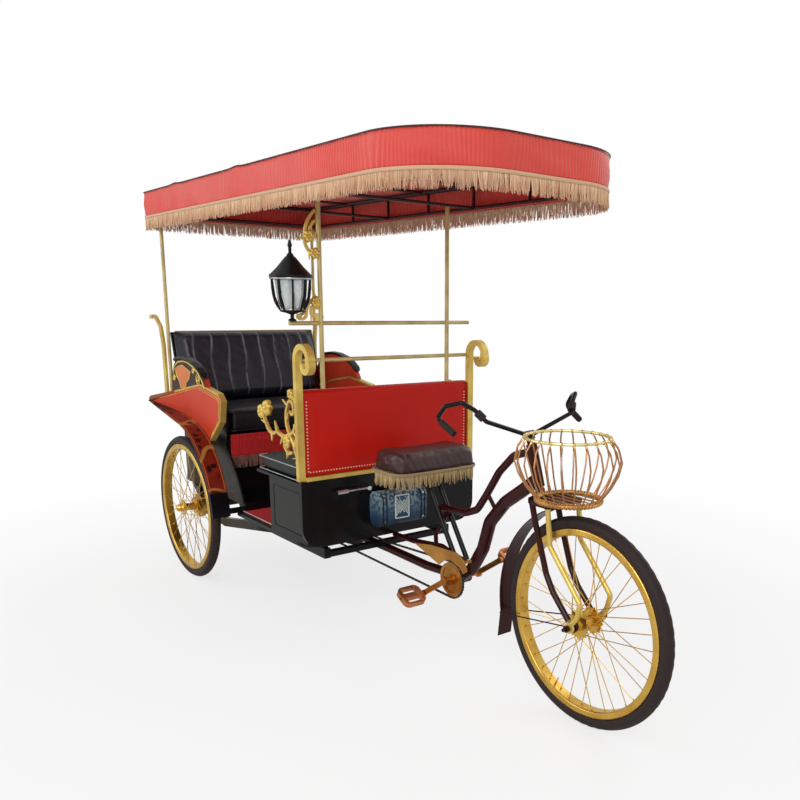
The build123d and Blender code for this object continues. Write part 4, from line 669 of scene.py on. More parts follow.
black_leather = finish(
    "black_leather", {"Specular IOR Level": 0.3, "Coat Weight": 0.05},
    leather(dye(14, 13, 15), dye(30, 30, 35), 0.40),
)
BLACK_COVER = ("chassis", black_leather, "black_leather")
seat_low, seat_high = cushion_piece(
    "rear_seat_cushion", "rear_cushion", BLACK_COVER, 0.009, 0.009, (0.008, 0.008, 0.006), 0.010, 0.015
)
for name, z in (("rear_seat_seam", seat_high.z - 0.016), ("rear_seat_lower_seam", seat_low.z + 0.014)):
    seam = ring_line(seat_low + SEAM_INSET, seat_high - SEAM_INSET, SEAM_CORNER, z)
    tube(name, seam, SEAM_RADIUS, *BLACK_COVER, closed=True)

# Seat back: black leather cloth sewn in nine upright channels over foam, with sharp creases between them,
# along which a pale highlight is painted. A thin tan band is tacked along its top, where it meets the back
# board.
BACK_FOOT, BACK_TOP = Vector((REAR_X - 0.128, 0, 0.872)), Vector((REAR_X - 0.222, 0, 1.212))
BACK_HALF, BACK_THICK, CHANNELS = 0.389, 0.052, 9
SEAM_DROP, CHANNEL_HEIGHT, RIDGE_HEIGHT = -0.019, 0.028, 0.015
CREASE_HIGHLIGHT_WIDTH = 0.045
back_up = (BACK_TOP - BACK_FOOT).normalized()
back_out = Vector((back_up.z, 0, -back_up.x))
back_length = (BACK_TOP - BACK_FOOT).length
pad = bmesh.new()
bmesh.ops.create_grid(pad, x_segments=26 * CHANNELS, y_segments=44, size=0.5)
crease = pad.verts.layers.float.new("crease")
for vert in pad.verts[:]:
    across, up = vert.co.x + 0.5, vert.co.y + 0.5
    number = math.floor(across * CHANNELS)
    lean = 0.10 * math.sin(2.6 * up + 5 * across) + 0.05 * math.sin(9 * up + 13 * across)
    channel = (across * CHANNELS + lean) % 1.0
    ridge = min(1.0, (1 - channel) / 0.10) ** 0.5 * (0.42 + 0.58 * channel ** 1.5)
    edge = min(1.0, 14 * min(across, 1 - across)) * min(1.0, 9 * min(up, 1 - up))
    edge = math.sin(edge * math.pi / 2)
    ruffle = 0.0011 * math.sin(17 * up + 3 * number) * math.sin(31 * up * (0.6 + 0.4 * channel))
    depth = edge * (CHANNEL_HEIGHT + RIDGE_HEIGHT * ridge) + ruffle * edge + SEAM_DROP
    spot = BACK_FOOT + back_up * (0.003 + up * (back_length - 0.006)) + back_out * depth
    vert.co = (spot.x, (across - 0.5) * 2 * (BACK_HALF - 0.002), spot.z)
    # Painted highlight: the crease layer holds the strength of a pale highlight painted along each crease.
    highlight_fade = 0.55 + 0.45 * math.sin(4.1 * up + 2.3 * number)
    off_crease = (channel + 0.06) % 1.0 - 0.06
    vert[crease] = edge * highlight_fade * math.exp(-(off_crease / CREASE_HIGHLIGHT_WIDTH) ** 2)
walled = bmesh.ops.extrude_edge_only(pad, edges=[e for e in pad.edges if e.is_boundary])
for vert in [g for g in walled["geom"] if isinstance(g, bmesh.types.BMVert)]:
    flat = (Vector(vert.co) - BACK_FOOT).dot(back_out)
    vert.co -= back_out * (flat + BACK_THICK / 2 - 0.001)
bmesh.ops.holes_fill(pad, edges=[e for e in pad.edges if e.is_boundary])
bmesh.ops.recalc_face_normals(pad, faces=pad.faces)


def channel_leather(place):
    """Black leather cloth, with a pale highlight painted along the creases."""
    found = leather(dye(15, 17, 22), dye(40, 44, 54), 0.36)(place)
    crease_highlight = place.node("Attribute", {"attribute_name": "crease"}, {}, out="Fac")
    # Painted highlight: pale blue-grey mixed in along the creases.
    found["Base Color"] = (crease_highlight * 0.75).mix(found["Base Color"], dye(132, 142, 156))
    return found


channel_coat = finish(
    "channel_leather", {"Specular IOR Level": 0.4, "Coat Weight": 0.1, "Coat Roughness": 0.2}, channel_leather
)
back_pad = mesh_piece(
    "seat_back_pad", pad, "chassis", channel_coat, "black_leather", stands_for=["seat_back"]
)
tan_tape = finish("tan_tape", {}, enamel(dye(176, 150, 108), dye(138, 108, 74), 0.55))
tape = BACK_TOP - back_up * 0.002 - back_out * 0.006
tape_line = [(tape.x, -BACK_HALF + 0.006 + k * (2 * BACK_HALF - 0.012) / 30, tape.z) for k in range(31)]
tube("seat_back_tape", tape_line, 0.0035, "chassis", tan_tape, "tan_fringe")

# Seat skirt: a strip of red cotton gathered on a drawstring under the rear seat's front edge, with a
# brown fringe sewn along its hem.
GATHER, SLACK_FOLD, COTTON_THICK = 0.0135, 0.046, 0.0009
skirt_low, skirt_high = (Vector(c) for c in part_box("seat_skirt"))
skirt_width = skirt_high.y - skirt_low.y


def gathered(place):
    pucker = clouds(place, 55.0, 4.0, Roughness=0.6)
    thread = clouds(place, 520.0, 2.0)
    # Painted shade and highlight: the colour follows the pucker bumps, darker in their hollows, paler on
    # their ridges.
    shade = pucker * 0.7 + thread * 0.3 + axis(place, "Y") * 0.04
    return {
        "Base Color": shade.mix(dye(128, 16, 22), dye(214, 44, 44)),
        "Roughness": thread * 0.1 + 0.68,
        "Normal": bumps(pucker + thread * 0.3, 0.4, 0.002),
    }


red_cotton = finish("red_cotton", {"Specular IOR Level": 0.2}, gathered)
skirt = bmesh.new()
bmesh.ops.create_grid(skirt, x_segments=420, y_segments=26, size=0.5)
skirt_x = (skirt_low.x + skirt_high.x) / 2
for vert in skirt.verts:
    across, up = vert.co.x + 0.5, vert.co.y + 0.5
    run = across * skirt_width
    phase = 2 * math.pi * (run / GATHER + 0.5 * math.sin(19 * run) + 0.22 * (1 - up) * math.sin(57 * run))
    slack = 2 * math.pi * (run / SLACK_FOLD + 0.7 * math.sin(13 * run + 1.0))
    fine = 0.0022 * (0.35 + 0.65 * up ** 2) * math.sin(phase)
    loose = 0.0026 * (1 - up) ** 1.3 * math.sin(slack)
    puff = 0.0016 * math.sin(math.pi * min(1, (1 - up) * 1.6))
    header = -0.0022 if 0.80 < up < 0.86 else 0.0
    vert.co = (
        skirt_x + fine + loose + puff + header * 0.8,
        skirt_low.y + run + 0.0012 * math.sin(slack + up * 3),
        skirt_low.z + (skirt_high.z - skirt_low.z - 0.001) * up + 0.0018 * (1 - up) * math.sin(slack + 0.6),
    )
bmesh.ops.recalc_face_normals(skirt, faces=skirt.faces)
skirt_piece = mesh_piece("red_skirt", skirt, "chassis", red_cotton, "red_cloth", stands_for=["seat_skirt"])
skirt_wall = skirt_piece.modifiers.new("cloth_wall", "SOLIDIFY")
skirt_wall.thickness = COTTON_THICK


def yarn(tint, tip_tint, low_z, high_z):
    """Soft yarn, paler and rosier to its tips, with a fine twist."""

    def work(place):
        down = rise(axis(place, "Z"), low_z, high_z)
        fleck = clouds(place, 160.0, 3.0)
        tone = place.node("Attribute", {"attribute_name": "strand_tone"}, {}, out="Fac")
        twist = place.node("TexWave", {"bands_direction": "DIAGONAL"}, {"Vector": place, "Scale": 260.0})
        return {
            "Base Color": (down * 0.6 + fleck * 0.3 + tone * 0.9 - 0.45).mix(tip_tint, tint),
            "Roughness": fleck * 0.1 + 0.82,
            "Normal": bumps(twist + fleck, 0.35, 0.0008),
        }

    return work


def hang_fringe(name, edge, length, top_z, drop, pitch, layers, coat, seed, node, ragged=0.14):
    """Strands hung along an edge. edge(run) gives a place and the outward direction there."""
    chance = np.random.default_rng(seed)
    strand = peg(3, 0.34, 0.5, 1.0)
    for cut in (0.15, -0.2):
        everything = strand.verts[:] + strand.edges[:] + strand.faces[:]
        bmesh.ops.bisect_plane(strand, geom=everything, plane_co=(0, 0, cut), plane_no=(0, 0, 1))
    strand.verts.index_update()
    pattern = np.array([v.co[:] for v in strand.verts])
    corners = [[v.index for v in face.verts] for face in strand.faces]
    strand.free()
    count = int(length / pitch)
    places, faces, tones = [], [], []
    for layer in range(layers):
        pull = chance.normal(0, 1, count // 4 + 2)
        for k in range(count):
            run = (k + 0.5 * layer) * pitch
            spot, out = edge(run)
            along = Vector((-out.y, out.x))
            reach = drop * chance.uniform(1 - ragged, 1.0)
            width = pitch * chance.uniform(0.62, 1.0)
            if chance.uniform() < 0.04:
                continue
            tones += [chance.uniform()] * len(pattern)
            bunch = (1.5 - k % 4) * pitch * chance.uniform(0.2, 0.75)
            lean = 0.0045 * pull[k // 4] + bunch + chance.normal(0, 0.0016)
            sink = 0.0012 + 0.0016 * layer + chance.uniform(-0.0006, 0.0006)
            down = 0.5 - pattern[:, 2]
            x = pattern[:, 0] * width + lean * down ** 1.6
            y = pattern[:, 1] * width * 0.8 - sink + 0.003 * chance.normal(0, 1) * down ** 2
            shaped = np.empty_like(pattern)
            shaped[:, 0] = spot.x + along.x * x + out.x * y
            shaped[:, 1] = spot.y + along.y * x + out.y * y
            shaped[:, 2] = top_z - reach * down
            first = len(places) * len(pattern)
            places.append(shaped)
            faces += [[first + i for i in face] for face in corners]
    hung = bpy.data.meshes.new(name)
    hung.from_pydata(np.concatenate(places).tolist(), [], faces)
    hung.attributes.new("strand_tone", "FLOAT", "POINT").data.foreach_set("value", tones)
    drawn = bmesh.new()
    drawn.from_mesh(hung)
    return mesh_piece(name, drawn, "chassis", coat, "tan_fringe", smooth=False, stands_for=[node])


hem_low, hem_high = (Vector(c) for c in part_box("skirt_fringe"))
brown = yarn(dye(120, 74, 60), dye(142, 104, 84), hem_low.z, hem_high.z)
brown_yarn = finish("brown_yarn", {"Sheen Weight": 0.2}, brown)


def skirt_hem(run):
    return Vector((hem_high.x - 0.001, hem_low.y + run)), Vector((1, 0))


skirt_strands = hang_fringe(
    "skirt_strands", skirt_hem, hem_high.y - hem_low.y, hem_high.z + 0.002, hem_high.z - hem_low.z, 0.0042, 2,
    brown_yarn, 11, "skirt_fringe",
)


# Arm rolls: black leather tubes stuffed and sewn over the arched boards, puckered at both ends. They
# are tacked to the boards' rims.
def loft(shape, rings):
    """A skin over closed rings of points, one after another, with both ends closed."""
    loop = bmesh.ops.create_circle(shape, cap_ends=False, segments=len(rings[0]), radius=1.0)["verts"]
    edges = list({edge for vert in loop for edge in vert.link_edges})
    grown_edges = list(edges)
    for k, ring in enumerate(rings):
        if k:
            grown = bmesh.ops.extrude_edge_only(shape, edges=grown_edges)["geom"]
            loop = [g for g in grown if isinstance(g, bmesh.types.BMVert)]
            front = set(loop)
            grown_edges = [g for g in grown if isinstance(g, bmesh.types.BMEdge) and set(g.verts) <= front]
        for vert, point in zip(loop, ring):
            vert.co = point
    bmesh.ops.holes_fill(shape, edges=edges + grown_edges)


ROLL_PATH = [
    (0.218, 1.008), (0.192, 1.032), (0.160, 1.053), (0.102, 1.077), (0.030, 1.092), (-0.040, 1.096),
    (-0.110, 1.089), (-0.160, 1.069),
]
ROLL_HEIGHT, ROLL_HALF_WIDTH, ROLL_INSET = 0.0125, 0.0215, 0.0235
pads_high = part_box("arm_pads")[1]
rolls = bmesh.new()
for side in (-1, 1):
    path, rings = walk(ROLL_PATH, 0.006), []
    roll_y = side * (pads_high.y - ROLL_INSET)
    for k, spot in enumerate(path):
        ahead = path[min(k + 1, len(path) - 1)] - path[max(k - 1, 0)]
        normal = Vector((ahead.y, -ahead.x)).normalized()
        end = min(k, len(path) - 1 - k) / 5
        plump = math.sqrt(max(0.06, 1 - max(0.0, 1 - end) ** 2))
        pucker = 1 - 0.06 * abs(math.sin(math.pi * k / 9 + side))
        ring = []
        for j in range(20):
            turn = 2 * math.pi * j / 20
            up, out = math.sin(turn) * ROLL_HEIGHT * plump, math.cos(turn) * ROLL_HALF_WIDTH * plump * pucker
            up = up * 0.3 if up < 0 else up
            ring.append((REAR_X + spot.x - normal.x * up, roll_y + out, spot.y - normal.y * up))
        rings.append(ring)
    loft(rolls, rings)
bmesh.ops.recalc_face_normals(rolls, faces=rolls.faces)
arm_rolls = mesh_piece("arm_rolls", rolls, *BLACK_COVER, stands_for=["arm_pads"])

# Front seat: a flat cushion of dull green-black leather cloth, with a silver cord along its edges. It
# lies on the lid of the battery box, whose ends have a sunk panel of a paler black.
green_black = finish(
    "green_black", {"Specular IOR Level": 0.3}, leather(dye(16, 22, 20), dye(34, 42, 38), 0.40)
)
front_low, front_high = cushion_piece(
    "front_seat_cushion", "front_cushion", ("chassis", green_black, "black_leather"),
    0.009, 0.007, (0.006, 0.007, 0.005), 0.008, 0.010,
)
silver_cord = finish("silver_cord", {"Metallic": 0.4}, enamel(dye(196, 202, 204), dye(120, 128, 132), 0.4))
PIPE_INSET, PIPE_CORNER, PIPE_RADIUS = Vector((0.005, 0.005, 0)), 0.024, 0.0023
for z, name in ((front_low.z + 0.007, "lower"), (front_high.z - 0.016, "upper")):
    line = ring_line(front_low + PIPE_INSET, front_high - PIPE_INSET, PIPE_CORNER, z)
    tube("front_seat_cord_" + name, line, PIPE_RADIUS, "chassis", silver_cord, "black_leather", closed=True)

PANEL_X, PANEL_Z, PANEL_WIDTH, PANEL_HEIGHT = 0.9815, 0.5322, 0.244, 0.169
PANEL_THICK, PANEL_ROUND = 0.0024, 0.011
box_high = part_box("front_box")[1]
sunk = finish("sunk_panel", LACQUER, enamel(dye(40, 42, 39), dye(24, 25, 24), 0.34))
for side, name in SIDES:
    plate = bmesh.new()
    plate_size = Matrix.Diagonal((PANEL_WIDTH, PANEL_THICK, PANEL_HEIGHT, 1))
    bmesh.ops.create_cube(plate, size=1.0, matrix=plate_size)
    corner_edges = [e for e in plate.edges if abs(e.verts[0].co.y - e.verts[1].co.y) > 0.001]
    bmesh.ops.bevel(
        plate, geom=corner_edges, offset=PANEL_ROUND, segments=5, profile=0.5, affect="EDGES", material=-1
    )
    middle = Vector((REAR_X + PANEL_X, side * (box_high.y - PANEL_THICK), PANEL_Z))
    bmesh.ops.translate(plate, verts=plate.verts, vec=middle)
    mesh_piece("box_panel_" + name, plate, "chassis", sunk, "black_paint", smooth=False)

# Bulkhead: a board padded with foam under bright red vinyl, which is held by a row of pale nails along
# both sides and the bottom. It stands in the gold frame, behind the rider.
NAIL_INSET, NAIL_PITCH, NAIL_SIZE = 0.017, 0.0130, (0.0036, 0.0036, 0.0030)
FACE_SINK, PUFF, PUFF_RUN, TACK_PULL, TACK_RUN, TOP_ROUND = 0.0075, 0.0065, 0.022, 0.0022, 0.006, 0.024
wall_low, wall_high = (Vector(c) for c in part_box("bulkhead"))


def vinyl(place):
    pebble = place.node("TexVoronoi", {}, {"Vector": place, "Scale": 420.0})
    sag = clouds(place, 4.0, 3.0)
    fold = clouds(place, 18.0, 4.0)
    return {
        "Base Color": (sag * 0.8 + fold * 0.2).mix(dye(164, 14, 6), dye(206, 28, 10)),
        "Roughness": fold * 0.14 + 0.34,
        "Normal": bumps(pebble * 0.3 + fold, 0.16, 0.0012),
    }


red_vinyl = finish("red_vinyl", {"Specular IOR Level": 0.2}, vinyl)
wall_size = wall_high - wall_low
wall_mid = (wall_high + wall_low) / 2
padding = bmesh.new()
bmesh.ops.create_cube(padding, size=1.0)
bmesh.ops.subdivide_edges(padding, edges=padding.edges[:], cuts=46, use_grid_fill=True)
for vert in padding.verts:
    x, y, z = vert.co * 2
    edge_y = (1 - abs(y)) * wall_size.y / 2
    edge_z = (1 - abs(z)) * wall_size.z / 2
    edge = min(edge_y, edge_z) if z < 0 else min(edge_y, 1.0)
    puff = PUFF * (1 - math.exp(-max(0.0, edge - NAIL_INSET) / PUFF_RUN))
    side_tack = abs(edge_y - NAIL_INSET) / TACK_RUN if z < 0.8 else 9.0
    foot_tack = abs(edge_z - NAIL_INSET) / TACK_RUN if z < 0 and edge_y > NAIL_INSET else 9.0
    pull = TACK_PULL * math.exp(-min(side_tack, foot_tack) ** 2)
    near_top = max(0.0, (z * wall_size.z / 2 - wall_size.z / 2 + TOP_ROUND) / TOP_ROUND)
    round_top = 0.018 * (1 - math.sqrt(max(0.0, 1 - near_top ** 2)))
    wrinkle = 0.0007 * math.sin(38 * y + 9 * z) * math.sin(13 * z + 5 * y)
    depth = (0.5 * wall_size.x - FACE_SINK + puff - pull + wrinkle * (puff > 0.003) - round_top) * x
    dip = 0.003 * math.sin(math.pi * (y + 1) / 2) * (1 - abs(x)) if z > 0.999 else 0.0
    flat_y, flat_z = y * (wall_size.y / 2 - 0.001), z * (wall_size.z / 2 - 0.001)
    vert.co = (wall_mid.x + depth, wall_mid.y + flat_y, wall_mid.z + flat_z - dip)
bmesh.ops.recalc_face_normals(padding, faces=padding.faces)
bulkhead_pad = mesh_piece("bulkhead_pad", padding, "chassis", red_vinyl, "red_vinyl", stands_for=["bulkhead"])


def ball(around, up):
    shape = bmesh.new()
    bmesh.ops.create_uvsphere(shape, u_segments=around, v_segments=up, radius=1.0)
    return shape


nail_right, nail_left = wall_low.y + NAIL_INSET, wall_high.y - NAIL_INSET
nail_foot, nail_top = wall_low.z + NAIL_INSET, wall_high.z - 0.045
nail_row = [(nail_right, nail_top), (nail_right, nail_foot), (nail_left, nail_foot), (nail_left, nail_top)]
nail_x = wall_high.x - FACE_SINK - 0.0012
nail_places = [pose_to((nail_x, p.x, p.y), (1, 0, 0), NAIL_SIZE) for p in walk(nail_row, NAIL_PITCH)]
pale_nails = finish("pale_nails", {"Metallic": 0.35}, enamel(dye(244, 214, 190), dye(222, 180, 150), 0.35))
repeat_piece("bulkhead_nails", ball(8, 5), nail_places, "chassis", pale_nails, "brass_plate")

# Scrollwork beside the front seat: forged bars with cast flowers of rounded petals and small curled
# leaves, all in gold paint. The bars are screwed to the bulkhead's back.
SCROLL_Y, CURL_Y = 0.392, 0.4195
# Columns: x, z, radius
FLOWERS = [(0.762, 0.915, 0.030), (0.815, 0.935, 0.033), (0.985, 0.815, 0.027), (1.030, 1.012, 0.020)]
# Columns: x and z of the stalk, direction in degrees, length
LEAVES = [
    (1.052, 0.800, 120, 0.046), (1.010, 0.850, 205, 0.050), (0.992, 0.905, 60, 0.040),
    (1.004, 0.962, 150, 0.040), (1.038, 0.990, 20, 0.036), (0.955, 0.838, 250, 0.044),
    (0.900, 0.847, 100, 0.044), (0.850, 0.842, 285, 0.040), (0.803, 0.870, 170, 0.038),
    (1.075, 0.900, 75, 0.036), (0.975, 0.790, 300, 0.038), (1.000, 0.775, 245, 0.034),
    (1.045, 0.862, 330, 0.036), (1.060, 0.760, 200, 0.030),
]
CURL_LEAVES = [
    (1.222, 1.130, 95, 0.040), (1.216, 1.126, 215, 0.036),
    (1.226, 1.124, 335, 0.034), (1.196, 1.132, 250, 0.034),
]
# Columns: leaves, distance from the middle, outward lean, share of the leaf past its stalk, shape
LEAF_GROUPS = [
    (LEAVES, SCROLL_Y, 0.18, 0.5, (0.15, 0.22, 0.56)), (CURL_LEAVES, CURL_Y, 0.10, 0.4, (0.16, 0.26, 0.52)),
]


def leaf_shape():
    """A leaf along Z that tapers, curls and has a wavy edge."""
    shape = ball(10, 9)
    for vert in shape.verts:
        tip = (vert.co.z + 1) / 2
        vert.co.x = vert.co.x * (1 - 0.75 * tip) + 0.9 * tip ** 2
        vert.co.y *= (1 - 0.6 * tip) * (1 + 0.18 * math.sin(9 * tip))
    return shape


def leaf_pose(stalk, along, length, share, shape, up):
    return pose_to(stalk + along * length * share, along, [part * length for part in shape], up)


petals, hearts, leaf_places = [], [], []
for side in (-1, 1):
    for x, z, radius in FLOWERS:
        for k in range(6):
            turn = math.radians(60 * k + 15)
            across, above = math.cos(turn), math.sin(turn)
            spot = (REAR_X + x + 0.60 * radius * across, side * (SCROLL_Y + 0.004), z + 0.60 * radius * above)
            petal_size = (0.46 * radius, 0.46 * radius, 0.30 * radius)
            petals.append(pose_to(spot, (0.25 * across, side, 0.25 * above), petal_size))
        heart_size = (0.30 * radius, 0.30 * radius, 0.26 * radius)
        hearts.append(pose_to((REAR_X + x, side * (SCROLL_Y + 0.011), z), (0, side, 0), heart_size))
for leaves, y, lean, share, shape in LEAF_GROUPS:
    for side, (x, z, degrees, length) in [(side, row) for side in (-1, 1) for row in leaves]:
        turn = math.radians(degrees)
        along = Vector((math.cos(turn), lean * side, math.sin(turn)))
        stalk = Vector((REAR_X + x, side * y, z))
        leaf_places.append(leaf_pose(stalk, along, length, share, shape, (0.3, 1, 0.2)))
repeat_piece("scroll_petals", ball(10, 6), petals, *GILT)
repeat_piece("scroll_hearts", ball(10, 6), hearts, *GILT)
repeat_piece("scroll_leaves", leaf_shape(), leaf_places, *GILT)

# Canopy cover: one sheet of coral-red cloth over the two steel rings. Its deep edge is gathered in
# narrow upright pleats, and the roof is drawn from the rim to a seam along the middle. A dark cord is
# sewn round the rim.
NOSE_CORNER, TAIL_CORNER = 0.322, 0.045
PLEAT, PLEAT_DEPTH, RIM_DROP, ROOF_CROWN, ROOF_SAG = 0.0168, 0.0026, 0.014, 0.0115, 0.0045
HEM_ROWS, ROOF_ROWS = 9, 7
BAR_X = [REAR_X + x for x in (-0.290, -0.241, 0.140, 0.470, 0.800, 1.128, 1.480, 1.740, 2.026)]
HIGH_BARS, BAR_RISE, BAR_REACH = (0.140, 0.800), 0.0045, 0.045
CLOTH_THICK, PIPING_RADIUS, PIPING_STEPS = 0.0009, 0.0024, 420
cover_low, cover_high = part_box("canopy_cloth")
COVER_HALF = cover_high.y
HEM_Z, RIM_Z = cover_low.z, cover_high.z - RIM_DROP


def rounded_edge(corners):
    """The edge round four corners, whose columns are middle x and y, radius and the angle at which the
    edge enters them. Gives a function of the metres run along it, and its length. The function gives a
    place and the outward direction there."""
    stretches, (x, y, radius, enter) = [], corners[-1]
    start = Vector((x, y - radius))
    for x, y, radius, enter in corners:
        turn = math.radians(enter)
        foot = Vector((x + radius * math.cos(turn), y + radius * math.sin(turn)))
        stretches.append(("straight", (foot - start).length, start, foot, turn))
        stretches.append(("corner", radius * math.pi / 2, Vector((x, y)), radius, turn))
        left = turn + math.pi / 2
        start = Vector((x + radius * math.cos(left), y + radius * math.sin(left)))
    total = sum(length for _, length, *_ in stretches)

    def edge(run):
        run = run % total
        for kind, length, first, second, turn in stretches:
            if run <= length:
                break
            run -= length
        if kind == "straight":
            return first.lerp(second, run / length), Vector((math.cos(turn), math.sin(turn)))
        out = Vector((math.cos(turn + run / second), math.sin(turn + run / second)))
        return first + out * second, out

    return edge, total


canopy_edge, EDGE_LENGTH = rounded_edge([
    (cover_high.x - NOSE_CORNER, -COVER_HALF + NOSE_CORNER, NOSE_CORNER, -90.0),
    (cover_high.x - NOSE_CORNER, COVER_HALF - NOSE_CORNER, NOSE_CORNER, 0.0),
    (cover_low.x + TAIL_CORNER, COVER_HALF - TAIL_CORNER, TAIL_CORNER, 90.0),
    (cover_low.x + TAIL_CORNER, -COVER_HALF + TAIL_CORNER, TAIL_CORNER, 180.0),
])


def pleat_wave(run, height):
    """Rounded ridges with sharp valleys, uneven in width and lean. 1 on a ridge, -1 in a valley."""
    sway = 2 * math.pi * run / EDGE_LENGTH
    phase = run / PLEAT + 0.9 * math.sin(11 * sway) + 0.5 * math.sin(29 * sway + 1.0)
    phase += height * (0.45 * math.sin(17 * sway) + 0.3 * math.sin(41 * sway + 2.0))
    return 2 * abs(math.sin(math.pi * phase)) - 1


def rim_rise(spot):
    """How far the cloth stands above the rim where a cross bar lifts it."""
    lift = max(math.exp(-((spot.x - REAR_X - x) / BAR_REACH) ** 2) for x in HIGH_BARS)
    return BAR_RISE * lift if abs(spot.y) > 0.3 else 0.0


def roof_dip(x, inward):
    """How far the cloth sags between the two bars beside x."""
    behind, ahead = next((a, b) for a, b in zip(BAR_X, BAR_X[1:]) if x <= b or b == BAR_X[-1])
    share = min(max((x - behind) / (ahead - behind), 0), 1)
    return ROOF_SAG * math.sin(math.pi * share) ** 2 * math.sin(math.pi * inward * 0.5)


def satin(tint, fold_tint, painted_sheen_tint, weave):
    """Plain-woven shiny cloth: fine weave, a darker cast in patches and a paler sheen painted into its colour
    at grazing angles.
    """

    def work(place):
        warp = place.node("TexWave", {"bands_direction": "X"}, {"Vector": place, "Scale": weave})
        weft = place.node("TexWave", {"bands_direction": "Z"}, {"Vector": place, "Scale": weave})
        streak = clouds(place, 90.0, 3.0)
        grazing_sheen = place.node("LayerWeight", {}, {"Blend": 0.35}, out="Facing")
        body = (clouds(place, 6.0, 4.0) * 0.7 + streak * 0.3).mix(fold_tint, tint)
        return {
            # Painted sheen: a paler tint mixed into the colour where the cloth is seen at a grazing angle.
            "Base Color": (grazing_sheen * 0.5).mix(body, painted_sheen_tint),
            "Roughness": streak * 0.2 + 0.42,
            "Normal": bumps(warp + weft, 0.12, 0.0006),
        }

    return work


# The third colour of each satin is its painted sheen.
coral = satin(dye(230, 78, 64), dye(196, 44, 32), dye(236, 112, 98), 700.0)
coral_cloth = finish("coral_cloth", {"Sheen Weight": 0.12}, coral)
cover = bmesh.new()
columns = 6 * round(EDGE_LENGTH / PLEAT)
bmesh.ops.create_grid(cover, x_segments=columns, y_segments=HEM_ROWS + ROOF_ROWS, size=0.5)
for vert in cover.verts:
    run = (vert.co.x + 0.5) * EDGE_LENGTH
    row = round((vert.co.y + 0.5) * (HEM_ROWS + ROOF_ROWS))
    spot, out = canopy_edge(run)
    lift = rim_rise(spot)
    if row <= HEM_ROWS:
        up = row / HEM_ROWS
        fade = 0.62 + 0.38 * math.sin(5.3 * run + 1.7 * up) * math.sin(2.1 * run + 0.8)
        pull = 0.0014 * math.sin(23 * run + 9 * up) * math.sin(7.7 * run)
        pleat = (PLEAT_DEPTH - 0.0008 * up) * fade * pleat_wave(run, up)
        stand = 0.0022 * math.sin(math.pi * up) + pleat + pull - 0.0034
        vert.co = (spot.x + out.x * stand, spot.y + out.y * stand, HEM_Z + (RIM_Z - HEM_Z) * up + lift * up)
    else:
        inward = (row - HEM_ROWS) / ROOF_ROWS
        ridge_x = min(max(spot.x, cover_low.x + COVER_HALF), cover_high.x - COVER_HALF)
        x = spot.x + (ridge_x - spot.x) * inward ** 1.4
        y = spot.y * (1 - inward ** 1.4)
        crease = 0.0014 * pleat_wave(run, 1.0) * (1 - inward) ** 3
        crown = ROOF_CROWN * math.sin(inward * math.pi / 2)
        vert.co = (x, y, RIM_Z + lift * (1 - inward) + crown - roof_dip(x, inward) + crease)
bmesh.ops.remove_doubles(cover, verts=cover.verts, dist=0.0004)
bmesh.ops.recalc_face_normals(cover, faces=cover.faces)
if max(cover.verts, key=lambda v: v.co.z).normal.z < 0:
    bmesh.ops.reverse_faces(cover, faces=cover.faces)
cover_area = sum(face.calc_area() for face in cover.faces)
canopy_cover = mesh_piece(
    "canopy_cover", cover, "chassis", coral_cloth, "coral_cloth", stands_for=["canopy_cloth"]
)
lining = canopy_cover.modifiers.new("lining", "SOLIDIFY")
lining.thickness, lining.offset = CLOTH_THICK, -1.0
dark_satin = satin(dye(78, 34, 34), dye(48, 22, 24), dye(96, 56, 54), 900.0)
dark_cord = finish("dark_cord", {"Roughness": 0.7}, dark_satin)
rim_line = []
for k in range(PIPING_STEPS):
    spot, out = canopy_edge(k * EDGE_LENGTH / PIPING_STEPS)
    rim_line.append((spot.x - out.x * 0.001, spot.y - out.y * 0.001, RIM_Z + rim_rise(spot) + 0.0015))
canopy_piping = tube(
    "canopy_piping", rim_line, PIPING_RADIUS, "chassis", dark_cord, "coral_cloth", closed=True
)

# Canopy fringe: tan cotton strands in three layers hung from a woven braid that is stitched to the hem.
# The strands lean together in small bunches, so gaps open between them.
BRAID_HEIGHT, BRAID_HALF, BRAID_STEP = 0.012, 0.0022, 0.012
STRAND = 0.0044
fringe_low, fringe_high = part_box("canopy_fringe")
tan = yarn(dye(240, 210, 170), dye(200, 150, 118), fringe_low.z, fringe_high.z)
tan_yarn = finish("tan_yarn", {"Sheen Weight": 0.3}, tan)
canopy_strands = hang_fringe(
    "canopy_strands", canopy_edge, EDGE_LENGTH, HEM_Z + 0.002, HEM_Z + 0.002 - fringe_low.z, STRAND, 3,
    tan_yarn, 7, "canopy_fringe", ragged=0.24,
)


def weave_braid(name, edge, length, low_z, height, coat):
    """A flat closed braid along an edge, with rounded lips."""
    braid = bmesh.new()
    bmesh.ops.create_grid(braid, x_segments=int(length / BRAID_STEP), y_segments=8, size=0.5)
    for vert in braid.verts:
        spot, out = edge((vert.co.x + 0.5) * length)
        turn = (vert.co.y + 0.5) * 2 * math.pi
        stand = 0.0005 + BRAID_HALF * math.cos(turn)
        z = low_z + height * (0.5 + 0.5 * math.sin(turn))
        vert.co = (spot.x + out.x * stand, spot.y + out.y * stand, z)
    bmesh.ops.remove_doubles(braid, verts=braid.verts, dist=0.0002)
    bmesh.ops.recalc_face_normals(braid, faces=braid.faces)
    return mesh_piece(name, braid, "chassis", coat, "tan_fringe")


